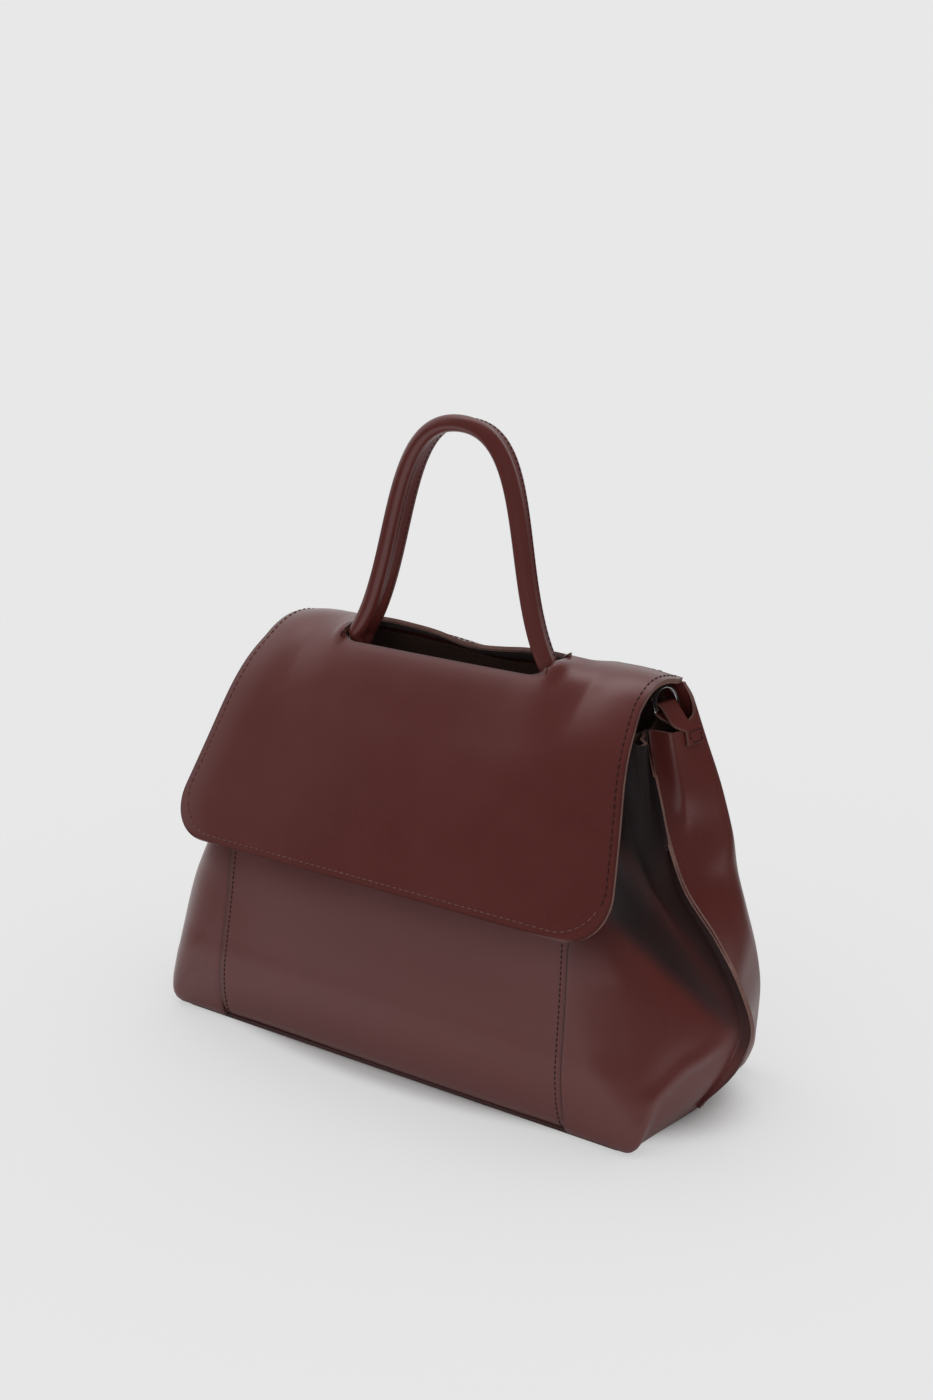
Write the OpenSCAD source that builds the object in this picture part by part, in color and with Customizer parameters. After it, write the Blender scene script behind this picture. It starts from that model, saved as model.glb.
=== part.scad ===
// Structured leather bag with a wide front flap, a raised top handle and folded side wings.
// The front of the bag faces -Y, +X is to the right and the base stands on z = 0.

/* [Body] */
// Width of the base between its front corners
base_w = 330; // [300:1:360]
// Depth of the base
base_d = 127; // [115:1:140]
// Width from wing tip to wing tip, without the seam edges
wing_w = 395; // [385:1:410]
// Height of the back panel
body_h = 235; // [225:1:250]
// How far the front panel's edge lies below the back panel's
front_drop = 14; // [12:1:20]
// How far the top of each side lies below the back panel's edge
side_drop = 22; // [21:1:30]
// Distance between the two front seams at the base
seam_base_w = 254; // [240:1:262]
// Distance between the two front seams at the top
seam_top_w = 234; // [222:1:240]
// Largest rounding of the body's upright corners
corner_r = 28; // [20:1:30]
// Thickness of the leather
leather_t = 2; // [1.6:0.1:2.4]
// Thickness of the lining
lining_t = 1; // [0.8:0.1:1.2]
// Width of the raw seam edges that stand out at the wing tips
fin_w = 8; // [5:0.5:10]

/* [Base] */
// Thickness of the base panel
base_t = 3; // [2:0.5:4]
// Thickness of the stiff board inside the base
board_t = 2; // [1.5:0.5:3]
// How far the base panel stands in from the body
base_inset = 1; // [0.5:0.25:2]
// Corner radius of the base panel
base_r = 5; // [3:0.5:8]

/* [Flap] */
// Width of the flap along the crest
flap_top_w = 271; // [255:1:275]
// Width of the flap at its lower edge, before the corners are rounded
flap_low_w = 319; // [300:1:330]
// How far the flap's lower edge lies below the back panel's edge
flap_drop = 115; // [105:1:125]
// How far the flap's lower edge stands in front of the base
flap_stand = 17.5; // [15:0.5:22]
// Height of the crest above the back panel
crest_rise = 8; // [7:0.5:12]
// How far the crest lies behind the middle of the bag
crest_y = 13; // [10:1:16]
// Radius of the flap's lower corners
flap_r = 30; // [20:1:36]
// Length of the slot for the handle
slot_w = 154; // [152:1:160]
// Depth of the slot from front to back
slot_d = 26; // [25:1:30]
// Corner radius of the slot
slot_r = 6; // [4:1:8]

/* [Handle] */
// Distance between the middles of the handle's two feet
handle_w = 138; // [130:1:142]
// Height of the arch above its feet, measured to the middle of the strap
handle_h = 130; // [115:1:140]
// Depth of the handle from front to back
handle_d = 18; // [16:0.5:19]
// Thickness of the rolled front bead
bead_t = 9; // [8:0.5:10]
// Thickness of the flat stitched edge behind the bead
edge_t = 4.4; // [4:0.2:5]
// Thickness of the cord inside the bead
core_t = 5; // [4:0.5:5.5]
// Length of each tongue that is sewn under the flap
tongue_l = 25; // [18:1:30]
// Thickness of the tongues
tongue_t = 2.5; // [2:0.1:3]

/* [Rings] */
// Inner width of the D-rings
ring_w = 16; // [15:1:18]
// Inner height of the D-rings
ring_h = 9; // [8:0.5:11]
// Thickness of the ring wire
wire_t = 2.8; // [2.4:0.2:3.2]
// Width of the leather tabs
tab_w = 13; // [10:1:13]
// Length of the stitched legs of each tab
tab_l = 22; // [16:1:26]
// Thickness of the tab's leather
tab_t = 1.8; // [1.4:0.1:2]
// How far the middle of the ring's bar lies behind the side seam
tab_y = 24; // [22:1:26]
// Height of the ring's bar above the edge of the side
bar_rise = 13; // [11:0.5:14]
// How far the ring's bar lies inside the edge of the side
bar_in = 9.5; // [8:0.5:10]

/* [Pocket] */
// Width of the inner pocket
pocket_w = 150; // [120:1:180]
// Height of the inner pocket
pocket_h = 95; // [80:1:105]
// Height of the pocket's lower edge
pocket_z = 85; // [70:1:95]

/* [Hidden] */

leather_colour = "#57302e";
edge_colour = "#6b3a37";
lining_colour = "#6b5549";
metal_colour = "#c9ccd0";
board_colour = "#8d8170";

// Clearances: between sewn layers, between moving pieces, behind the lining, and the overrun of a cut
layer_gap = 0.1;
move_gap = 0.4;
lining_gap = 0.7;
cut = 1;

// Heights and places that follow from the sizes
front_h = body_h - front_drop;
side_h = body_h - side_drop;
flap_low_z = body_h - flap_drop;
flap_low_y = base_d / 2 + flap_stand;

// Shapes of the body as shares. The first number of each pair is the height as a share of body_h.
// Distance of the front face from the middle, as shares of half the base's depth.
front_shares = [
  [0, 1], [0.025, 1.08], [0.06, 1.125], [0.11, 1.15], [0.17, 1.145], [0.24, 1.105], [0.34, 1.05],
  [0.45, 1], [0.55, 0.945], [0.64, 0.875], [0.75, 0.765], [0.87, 0.55], [1, 0.25]
];
// Distance of the back face from the middle, as shares of half the base's depth.
back_shares = [
  [0, 1], [0.025, 1.055], [0.06, 1.095], [0.11, 1.12], [0.17, 1.13], [0.24, 1.12], [0.34, 1.085],
  [0.45, 1.035], [0.55, 0.975], [0.64, 0.93], [0.75, 0.84], [0.87, 0.73], [1, 0.58]
];
// Distance of the front corners from the middle, as shares of half the base's width.
front_corner_shares = [
  [0, 1], [0.025, 1.025], [0.06, 1.035], [0.11, 1.03], [0.17, 1.015], [0.24, 0.995], [0.34, 0.97],
  [0.45, 0.935], [0.55, 0.91], [0.64, 0.895], [0.75, 0.875], [0.87, 0.85], [1, 0.825]
];
// Distance of the back corners from the middle, as shares of half the base's width.
back_corner_shares = [
  [0, 0.99], [0.025, 1.005], [0.06, 1.02], [0.11, 1.025], [0.17, 1.03], [0.24, 1.035], [0.34, 1.03],
  [0.45, 1.01], [0.55, 0.985], [0.64, 0.97], [0.75, 0.945], [0.87, 0.885], [1, 0.835]
];
// Distance of the side seam from the middle, as shares of half the width over the wings.
tip_shares = [
  [0, 0.86], [0.025, 0.87], [0.06, 0.9], [0.11, 0.94], [0.17, 0.975], [0.24, 1], [0.34, 0.97],
  [0.45, 0.88], [0.55, 0.78], [0.64, 0.75], [0.75, 0.727], [0.87, 0.696], [1, 0.673]
];
// Rounding of the front and back corners, as shares of corner_r.
front_round_shares = [
  [0, 0.1], [0.06, 0.2], [0.17, 0.4], [0.24, 0.6], [0.34, 0.9], [0.45, 1], [0.64, 1],
  [0.75, 0.9], [0.87, 0.65], [1, 0.4]
];
back_round_shares = [
  [0, 0.1], [0.06, 0.2], [0.17, 0.45], [0.24, 0.6], [0.34, 0.75], [0.64, 0.75], [0.75, 0.65],
  [0.87, 0.4], [1, 0.2]
];
// Width of the raw seam edge, as shares of fin_w.
fin_shares = [
  [0, 0.2], [0.025, 0.4], [0.06, 0.6], [0.11, 0.8], [0.17, 0.95], [0.24, 1], [0.34, 0.75],
  [0.45, 0.8], [0.55, 0.75], [0.64, 0.3], [0.75, 0.2], [1, 0.2]
];
// Heights of the cross-sections of every panel, as shares of the panel's own height.
level_shares = [for (pair = front_shares) pair[0]];
// Where a side panel's rounded corner starts and ends, as shares of its way from seam to tip.
corner_start_share = 0.25;
corner_end_share = 0.65;
corner_steps = 5;
side_shares = concat(
  [0],
  [for (i = [0 : corner_steps])
    corner_start_share + (corner_end_share - corner_start_share) * i / corner_steps],
  [0.82, 1]
);
face_shares = [-1, -0.5, 0, 0.5, 1];
turn_step = 0.01;

// Small helpers
function unit(v) = v / norm(v);
function mix(a, b, share) = a + (b - a) * share;
function bend(a, b, c, share) = mix(mix(a, b, share), mix(b, c, share), share);
function backwards(list) = [for (i = [len(list) - 1 : -1 : 0]) list[i]];

// Rounded corner of an outline, between two neighbours
function corner_arc(before, corner, after, r, steps) =
  let (
    a = unit(before - corner),
    b = unit(after - corner),
    half = acos(a * b) / 2,
    reach = r / tan(half),
    centre = corner + unit(a + b) * r / sin(half),
    from = corner + a * reach - centre,
    to = corner + b * reach - centre
  )
  [for (i = [0 : steps])
    let (v = mix(from, to, i / steps)) centre + r * unit(v)];

// Plan of the body at one height
function face_y(z, back) =
  base_d / 2 * (back ? lookup(z / body_h, back_shares) : -lookup(z / body_h, front_shares));
function corner_x(z, back) =
  base_w / 2 * lookup(z / body_h, back ? back_corner_shares : front_corner_shares);
function tip_x(z) = wing_w / 2 * lookup(z / body_h, tip_shares);
function seam_x(z) = mix(seam_base_w, seam_top_w, z / body_h) / 2;
function round_r(z, back) =
  min(corner_r * lookup(z / body_h, back ? back_round_shares : front_round_shares),
    0.95 * (corner_x(z, back) - seam_x(z)));

// Point of a side panel in plan: the share runs from the upright seam (0) to the side seam (1).
function side_point(z, share, back) =
  let (
    seam = [seam_x(z), face_y(z, back)],
    corner = [corner_x(z, back), face_y(z, back)],
    tip = [tip_x(z), 0],
    r = round_r(z, back),
    start = corner + r * unit(seam - corner),
    end = corner + r * unit(tip - corner)
  )
  share < corner_start_share ? mix(seam, start, share / corner_start_share)
  : share < corner_end_share
    ? bend(start, corner, end, (share - corner_start_share) / (corner_end_share - corner_start_share))
  : mix(end, tip, (share - corner_end_share) / (1 - corner_end_share));

// Direction into the bag at that point.
function side_inward(z, share, back) =
  let (
    way = unit(side_point(z, min(1, share + turn_step), back)
      - side_point(z, max(0, share - turn_step), back))
  )
  back ? [way.y, -way.x] : [-way.y, way.x];

// The same point moved into the bag, square to the panel. The ends stay on their seams.
function side_inner(z, share, depth, back) =
  let (p = side_point(z, share, back), inward = side_inward(z, share, back))
  share == 0 ? [p.x, p.y + (back ? -depth : depth)]
  : share == 1 ? [p.x + depth / inward.x, 0]
  : p + depth * inward;

// Height of a side panel's top edge: level along the side, rising round the corner to the next panel
function side_top(share, back) =
  mix(back ? body_h : front_h, side_h,
    min(1, max(0, (share - corner_start_share) / (corner_end_share - corner_start_share))));
// Level of one cross-section, cut off at a lower start and at a lower edge for the lining
function level(share, low, top, drop) = max(low, min(mix(base_t, top, share), top - drop));

// One panel's grid of points: a row for each height, a column for each share across it.
function side_grid(depth, low, drop, back) = [
  for (s = level_shares) [
    for (t = side_shares)
      let (z = level(s, low, side_top(t, back), drop), p = side_inner(z, t, depth, back))
      [p.x, p.y, z]
  ]
];
function face_grid(depth, low, drop, back) = [
  for (s = level_shares) [
    for (t = face_shares)
      let (z = level(s, low, back ? body_h : front_h, drop))
      [t * seam_x(z), face_y(z, back) + (back ? -depth : depth), z]
  ]
];
function flip_grid(grid) = [for (row = grid) [for (p = backwards(row)) [-p.x, p.y, p.z]]];
function join_grids(a, b, c) = [
  for (i = [0 : len(a) - 1]) concat(a[i], [for (j = [1 : len(b[i]) - 1]) b[i][j]],
    [for (j = [1 : len(c[i]) - 1]) c[i][j]])
];

// A closed sheet between two grids of the same size. The first grid is the outer side when
// its rows run upwards and its columns run to the right seen from outside. The squares are split
// so that the left half mirrors the right half, because a lining has to fit a mirrored panel.
module sheet(outer, inner) {
  rows = len(outer);
  cols = len(outer[0]);
  count = rows * cols;
  points = concat([for (row = outer) each row], [for (row = inner) each row]);
  function id(i, j, side) = side * count + i * cols + j;
  function two(a, b, c, d) =
    points[a].x + points[c].x < 0 ? [[a, b, d], [b, c, d]] : [[a, b, c], [a, c, d]];
  faces = concat(
    [for (i = [0 : rows - 2]) for (j = [0 : cols - 2])
      each two(id(i, j, 0), id(i + 1, j, 0), id(i + 1, j + 1, 0), id(i, j + 1, 0))],
    [for (i = [0 : rows - 2]) for (j = [0 : cols - 2])
      each two(id(i, j, 1), id(i, j + 1, 1), id(i + 1, j + 1, 1), id(i + 1, j, 1))],
    [for (j = [0 : cols - 2]) each two(id(0, j, 0), id(0, j + 1, 0), id(0, j + 1, 1), id(0, j, 1))],
    [for (j = [0 : cols - 2])
      each two(id(rows - 1, j, 0), id(rows - 1, j, 1), id(rows - 1, j + 1, 1), id(rows - 1, j + 1, 0))],
    [for (i = [0 : rows - 2]) each two(id(i, 0, 0), id(i, 0, 1), id(i + 1, 0, 1), id(i + 1, 0, 0))],
    [for (i = [0 : rows - 2])
      each two(id(i, cols - 1, 0), id(i + 1, cols - 1, 0), id(i + 1, cols - 1, 1), id(i, cols - 1, 1))]
  );
  polyhedron(points, faces, convexity = 10);
}

// The raw edge of a side panel, turned out beside the edge of its neighbour.
function fin_grid(grid, out, back) = [
  for (row = grid)
    let (tip = row[len(row) - 1], z = tip.z, y = out ? (back ? leather_t : -leather_t) : 0)
    concat(
      [for (j = [0 : len(row) - 2]) row[j]],
      [[out ? tip_x(z) : tip.x, y, z]],
      [[tip_x(z) + fin_w * lookup(z / body_h, fin_shares), y, z]]
    )
];

module side_panel(back) {
  outer = fin_grid(side_grid(0, base_t, 0, back), true, back);
  inner = fin_grid(side_grid(leather_t, base_t, 0, back), false, back);
  if (back) sheet(inner, outer);
  else sheet(outer, inner);
}

module front_side_panel(side) {
  color(leather_colour) mirror([side < 0 ? 1 : 0, 0, 0]) side_panel(false);
}

module back_side_panel(side) {
  color(leather_colour) mirror([side < 0 ? 1 : 0, 0, 0]) side_panel(true);
}

module front_panel() {
  color(leather_colour)
    sheet(face_grid(0, base_t, 0, false), face_grid(leather_t, base_t, 0, false));
}

module back_panel() {
  color(leather_colour)
    sheet(face_grid(leather_t, base_t, 0, true), face_grid(0, base_t, 0, true));
}

// The lining of one half of the bag, from side seam to side seam
lining_low = base_t + board_t + layer_gap;
lining_drop = 4;
lining_depth = leather_t + lining_gap;
function lining_grid(depth, back) =
  let (
    side = side_grid(depth, lining_low, lining_drop, back),
    face = face_grid(depth, lining_low, lining_drop, back)
  )
  join_grids(flip_grid(side), face, side);

module front_lining() {
  color(lining_colour)
    sheet(lining_grid(lining_depth, false), lining_grid(lining_depth + lining_t, false));
}

module back_lining() {
  color(lining_colour)
    sheet(lining_grid(lining_depth + lining_t, true), lining_grid(lining_depth, true));
}

// Plan of the base, moved in by depth: four rounded corners and a blunt point at each wing
function base_outline(depth) =
  let (
    x = tip_x(0) - depth,
    front_right = [corner_x(0, false) - depth, face_y(0, false) + depth],
    back_right = [corner_x(0, true) - depth, face_y(0, true) - depth],
    front_left = [-front_right.x, front_right.y],
    back_left = [-back_right.x, back_right.y]
  )
  concat(
    corner_arc(front_left, front_right, [x, 0], base_r, corner_steps),
    [[x, 0]],
    corner_arc([x, 0], back_right, back_left, base_r, corner_steps),
    corner_arc(back_right, back_left, [-x, 0], base_r, corner_steps),
    [[-x, 0]],
    corner_arc([-x, 0], front_left, front_right, base_r, corner_steps)
  );

module base_panel() {
  color(edge_colour) linear_extrude(base_t) polygon(base_outline(base_inset));
}

module base_board() {
  color(board_colour)
    translate([0, 0, base_t]) linear_extrude(board_t) polygon(base_outline(leather_t + move_gap));
}

module floor_lining() {
  color(lining_colour)
    translate([0, 0, base_t + board_t]) linear_extrude(lining_t)
      polygon(base_outline(lining_depth + lining_t + move_gap));
}

// The pocket is one flat piece sewn to the lining of the back.
pocket_t = 1.2;
pocket_levels_share = [0, 0.25, 0.5, 0.75, 1];
function pocket_grid(depth) = [
  for (s = pocket_levels_share) [
    for (t = face_shares)
      let (z = pocket_z + pocket_h * s)
      [t * pocket_w / 2, face_y(z, true) - depth, z]
  ]
];

module inner_pocket() {
  pocket_depth = lining_depth + lining_t + move_gap;
  color(lining_colour) sheet(pocket_grid(pocket_depth + pocket_t), pocket_grid(pocket_depth));
}

// Flap: its profile runs from the back seam over the crest to the lower edge
hinge_y = face_y(body_h, true) + leather_t;
hinge_z = body_h + move_gap;
crest_z = body_h + crest_rise;
crest_back_share = 0.5;
crest_front_share = 1.4;
slope_start_share = 0.43;
slope_start_z = mix(crest_z, flap_low_z, slope_start_share);
crest_front_y = -crest_y * crest_front_share;
slope_start_y = mix(crest_front_y, -flap_low_y, slope_start_share);
profile_steps = 8;

function flap_profile() =
  let (
    hinge = [hinge_y, hinge_z],
    crest = [crest_y, crest_z],
    behind = [mix(crest_y, hinge_y, crest_back_share), crest_z],
    ahead = [crest_front_y, crest_z],
    slope = [slope_start_y, slope_start_z],
    low = [-flap_low_y, flap_low_z]
  )
  concat(
    [for (i = [0 : profile_steps - 1]) bend(hinge, behind, crest, i / profile_steps)],
    [for (i = [0 : profile_steps]) bend(crest, ahead, slope, i / profile_steps)],
    [low]
  );

// Points of the profile moved outwards, square to it.
function profile_moved(points, depth) = [
  for (i = [0 : len(points) - 1])
    let (
      way = unit(points[min(i + 1, len(points) - 1)] - points[max(i - 1, 0)])
    )
    points[i] + depth * [way.y, -way.x]
];
function band(points, from, to) =
  concat(profile_moved(points, from), backwards(profile_moved(points, to)));

module along_x(length) {
  rotate([90, 0, 90]) linear_extrude(length, center = true) children();
}

module flap_outline() {
  top = crest_z + flap_low_y;
  low_left = [-flap_low_w / 2, flap_low_z - cut];
  low_right = [flap_low_w / 2, flap_low_z - cut];
  high_left = [-flap_top_w / 2, crest_z - crest_rise];
  high_right = [flap_top_w / 2, crest_z - crest_rise];
  polygon(concat(
    [[flap_top_w / 2, top], [-flap_top_w / 2, top]],
    [high_left],
    corner_arc(high_left, low_left, low_right, flap_r, 8),
    corner_arc(low_left, low_right, high_right, flap_r, 8),
    [high_right]
  ));
}

module slot_outline() {
  w = slot_w / 2;
  d = slot_d / 2;
  corners = [[-w, -d], [w, -d], [w, d], [-w, d]];
  polygon([for (i = [0 : 3])
    each corner_arc(corners[(i + 3) % 4], corners[i], corners[(i + 1) % 4], slot_r, 4)]);
}

module flap_layer(from, to) {
  difference() {
    intersection() {
      along_x(flap_low_w + cut) polygon(band(flap_profile(), from, to));
      rotate([90, 0, 0]) linear_extrude(4 * flap_low_y, center = true) flap_outline();
    }
    translate([0, 0, crest_z - slot_d]) linear_extrude(2 * slot_d) slot_outline();
  }
}

module flap_lining() {
  color(lining_colour) flap_layer(0, lining_t);
}

module flap_leather() {
  color(leather_colour) flap_layer(lining_t, lining_t + leather_t);
}

// Handle: an arch over the slot, swept with one cross-section
handle_ahead = 3;
handle_y = -handle_ahead;
foot_z = crest_z - move_gap;
rise_share = 0.33;
lean_share = 0.56;
shoulder_share = 0.76;
arch_steps = 28;
end_steps = 4;
bead_sides = 8;

function arch_half(share) =
  let (
    foot = [handle_w / 2, 0],
    low = [handle_w / 2 * lean_share, handle_h * rise_share],
    high = [handle_w / 2 * shoulder_share, handle_h],
    top = [0, handle_h],
    a = bend(foot, low, high, share),
    b = bend(low, high, top, share)
  )
  mix(a, b, share);
function arch(share) =
  share < 0.5
    ? let (p = arch_half(2 * share)) [-p.x, p.y]
    : arch_half(2 - 2 * share);

// Cross-section: first number across the strap, second from front to back.
function handle_section(grow) =
  let (
    r = bead_t / 2 - grow,
    front = -handle_d / 2 + bead_t / 2,
    e = edge_t / 2 - grow,
    back = handle_d / 2 - grow
  )
  concat(
    [for (i = [0 : bead_sides]) [-r * cos(i * 180 / bead_sides), front - r * sin(i * 180 / bead_sides)]],
    [[r * 0.85, front + r * 0.55], [e, front + r], [e, back], [-e, back], [-e, front + r],
      [-r * 0.85, front + r * 0.55]]
  );
function core_section(r) =
  let (front = -handle_d / 2 + bead_t / 2, n = len(handle_section(0)))
  [for (i = [0 : n - 1]) [-r * cos(i * 360 / n), front - r * sin(i * 360 / n)]];

// One ring of the sweep: place in the arch's plane, its direction, and how deep it is.
function arch_ring(section, at, way, depth_share) = [
  for (p = section) [at.x + p.x * way.y, handle_y + p.y * depth_share, foot_z + at.y - p.x * way.x]
];
function arch_rings(section) = [
  for (i = [0 : arch_steps])
    let (
      share = i / arch_steps,
      way = unit(arch(min(1, share + turn_step)) - arch(max(0, share - turn_step)))
    )
    arch_ring(section, arch(share), way, 1)
];
// The feet are rounded from front to back, so that they turn inside the slot.
function foot_rings(section, side) = [
  for (k = [1 : end_steps])
    let (
      angle = 80 * k / end_steps,
      at = [side * handle_w / 2, -handle_d / 2 * sin(angle)]
    )
    arch_ring(section, at, [0, side < 0 ? 1 : -1], cos(angle))
];

// A closed tube through the rings.
module sweep(rings) {
  n = len(rings[0]);
  last = len(rings) - 1;
  points = [for (ring = rings) each ring];
  faces = concat(
    [[for (j = [0 : n - 1]) j]],
    [for (i = [0 : last - 1]) for (j = [0 : n - 1])
      let (k = (j + 1) % n)
      each [[i * n + j, (i + 1) * n + j, (i + 1) * n + k], [i * n + j, (i + 1) * n + k, i * n + k]]],
    [[for (j = [n - 1 : -1 : 0]) last * n + j]]
  );
  polyhedron(points, faces, convexity = 10);
}

module handle_leather() {
  section = handle_section(0);
  color(leather_colour)
    difference() {
      sweep(concat(backwards(foot_rings(section, -1)), arch_rings(section), foot_rings(section, 1)));
      sweep(arch_rings(core_section(core_t / 2 + layer_gap)));
    }
}

module handle_core() {
  color(board_colour) sweep(arch_rings(core_section(core_t / 2)));
}

// Each tongue runs from the foot outwards, flat against the underside of the flap.
module handle_tongue(side) {
  profile = [for (p = flap_profile()) if (abs(p.x - handle_y) < handle_d / 2 + crest_rise / 2) p];
  inner_x = handle_w / 2 + bead_t / 2 + move_gap;
  color(leather_colour)
    translate([side * (inner_x + tongue_l / 2), 0, 0])
      along_x(tongue_l) polygon(band(profile, -tongue_t - layer_gap, -layer_gap));
}

// Ring and tab on the top edge of each side, drawn square to the side panel's own slant.
// The panel is flat there, so its outer face is found from the side seam and the back corner.
function side_face_x(z, y) = mix(tip_x(z), corner_x(z, true), y / face_y(z, true));
tab_lean = atan((side_face_x(side_h - tab_l, tab_y) - side_face_x(side_h, tab_y)) / tab_l);
tab_turn = atan((corner_x(side_h, true) - tip_x(side_h)) / face_y(side_h, true));
tab_out = move_gap;
tab_in = lining_depth + lining_t + move_gap;
bar_r = wire_t / 2;
loop_r = bar_r + 2 * move_gap;
leg_drop = tab_l / cos(tab_lean);
bar_reach = bar_in * cos(tab_lean) + bar_rise * sin(tab_lean);
leg_y = tab_y - bar_reach * sin(tab_turn);
leg_x = side_face_x(side_h, leg_y);

// Places its children with +X out of the bag, +Y to the back and +Z up along the side panel.
module at_tab(side) {
  mirror([side < 0 ? 1 : 0, 0, 0])
    translate([leg_x, leg_y, side_h])
      rotate([0, 0, -tab_turn])
        rotate([0, -tab_lean, 0])
          children();
}

// The tab from its edge: two legs, then a strap that leans inwards and ends round the bar.
module tab_shape(grow, drop) {
  width = tab_in + tab_out + 2 * grow;
  translate([-tab_in - grow, -drop]) square([width, drop]);
  hull() {
    translate([-tab_in - grow, -layer_gap]) square([width, layer_gap]);
    translate([-bar_in, bar_rise]) circle(loop_r + grow, $fn = 48);
  }
}

module ring_tab(side) {
  color(leather_colour)
    at_tab(side)
      rotate([90, 0, 0])
        linear_extrude(tab_w, center = true)
          difference() {
            tab_shape(tab_t, leg_drop);
            tab_shape(0, leg_drop + cut);
          }
}

// The ring stands on its straight bar, which lies in the tab's loop.
module d_ring(side) {
  bow_r = ring_w / 2 + bar_r;
  post = bar_r + max(0, ring_h - ring_w / 2);
  color(metal_colour)
    at_tab(side)
      translate([-bar_in, 0, bar_rise]) {
        rotate([90, 0, 0]) cylinder(h = ring_w + wire_t, r = bar_r, center = true, $fn = 32);
        for (end = [-1, 1])
          translate([0, end * bow_r, 0]) {
            sphere(bar_r, $fn = 32);
            cylinder(h = post, r = bar_r, $fn = 32);
          }
        translate([0, 0, post])
          rotate([90, 0, 90])
            rotate_extrude(angle = 180, $fn = 64) translate([bow_r, 0]) circle(bar_r, $fn = 32);
      }
}

base_panel();
base_board();
floor_lining();
front_panel();
back_panel();
front_side_panel(-1);  // front_side_panel_left
front_side_panel(1);  // front_side_panel_right
back_side_panel(-1);  // back_side_panel_left
back_side_panel(1);  // back_side_panel_right
front_lining();
back_lining();
inner_pocket();
ring_tab(-1);  // ring_tab_left
ring_tab(1);  // ring_tab_right
d_ring(-1);  // d_ring_left
d_ring(1);  // d_ring_right
flap_leather();
flap_lining();
handle_tongue(-1);  // handle_tongue_left
handle_tongue(1);  // handle_tongue_right
handle_leather();
handle_core();
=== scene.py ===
# %% [markdown]
# # A structured leather bag
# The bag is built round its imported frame: panels that keep their shape, one wide flap that turns on
# the back, an arched handle in a slot and two small D-rings. Each leather part is a surface worked out
# with numpy and given the thickness of real leather. Only the D-rings stay as they come.

# %% Load the frame
import math
import bpy
import numpy as np
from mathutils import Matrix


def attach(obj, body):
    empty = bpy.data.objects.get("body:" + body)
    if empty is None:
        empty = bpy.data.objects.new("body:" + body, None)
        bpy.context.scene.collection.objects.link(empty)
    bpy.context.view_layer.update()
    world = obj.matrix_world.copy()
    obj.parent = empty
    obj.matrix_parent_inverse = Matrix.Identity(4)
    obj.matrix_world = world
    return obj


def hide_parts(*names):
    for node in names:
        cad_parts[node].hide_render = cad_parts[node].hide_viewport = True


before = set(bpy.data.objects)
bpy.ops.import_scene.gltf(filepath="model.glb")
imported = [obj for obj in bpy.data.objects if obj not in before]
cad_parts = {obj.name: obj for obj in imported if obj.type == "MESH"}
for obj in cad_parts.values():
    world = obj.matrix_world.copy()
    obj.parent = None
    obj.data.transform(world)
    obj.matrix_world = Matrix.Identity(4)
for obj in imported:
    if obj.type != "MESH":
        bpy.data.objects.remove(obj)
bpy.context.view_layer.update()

# %% [markdown]
# ## Camera
# The camera stands to the right of the bag's front and looks down at it. It was found by fitting a
# plain pinhole to mirrored pairs of points, such as the two ends of the crest. Putting it first lets
# every later step be checked against the same view.

# %% Camera at the photograph's angle
PHOTO_H = 1400
FOCAL_PX = 2096.7
YAW = math.radians(36.58)
PITCH = math.radians(16.39)
DISTANCE = 1.2184
TARGET = np.array([0.0052, 0.0039, 0.2113])

sight = np.array([-math.sin(YAW) * math.cos(PITCH), math.cos(YAW) * math.cos(PITCH), -math.sin(PITCH)])
camera_data = bpy.data.cameras.new("camera")
camera_data.sensor_width = 36
camera_data.lens = FOCAL_PX * camera_data.sensor_width / PHOTO_H
camera_data.clip_end = 50
camera = bpy.data.objects.new("camera", camera_data)
camera.location = TARGET - sight * DISTANCE
camera.rotation_euler = (math.pi / 2 - PITCH, 0, YAW)
bpy.context.collection.objects.link(camera)
bpy.context.scene.camera = camera
print("camera at", [round(v, 4) for v in camera.location])

# %% [markdown]
# ## Helpers for surfaces
# Every piece of leather here is a grid of points: rows run one way, columns the other. One helper
# turns such a grid into a mesh, and Blender's Solidify modifier gives it its thickness, with a
# second material on the cut edge. Working on whole arrays keeps each shape a short formula.

# %% Grids and meshes
MM = 0.001
FAR = 1.0


def unit(v):
    """v divided by its own length, along the last axis."""
    return v / np.maximum(np.linalg.norm(v, axis=-1, keepdims=True), 1e-12)


def mix(a, b, share):
    """a + (b - a) * share."""
    return a + (b - a) * share


def bend(a, b, c, share):
    """Quadratic curve from a to c, pulled towards b."""
    return mix(mix(a, b, share), mix(b, c, share), share)


def step(x, low, high):
    """0 below low, 1 above high, and 3t^2 - 2t^3 between them."""
    t = np.clip((x - low) / (high - low), 0, 1)
    return t * t * (3 - 2 * t)


def hump(x, centre, width):
    """exp(-((x - centre) / width)^2), a soft bump of height 1."""
    return np.exp(-(((x - centre) / width) ** 2))


def path_run(line):
    """Distance along a line of points from its first point."""
    return np.concatenate([[0], np.cumsum(np.linalg.norm(np.diff(line, axis=0), axis=1))])


def read_along(at, run, values):
    """Rows of values at the given runs."""
    return np.stack([np.interp(at, run, column) for column in values.T], -1)


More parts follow.
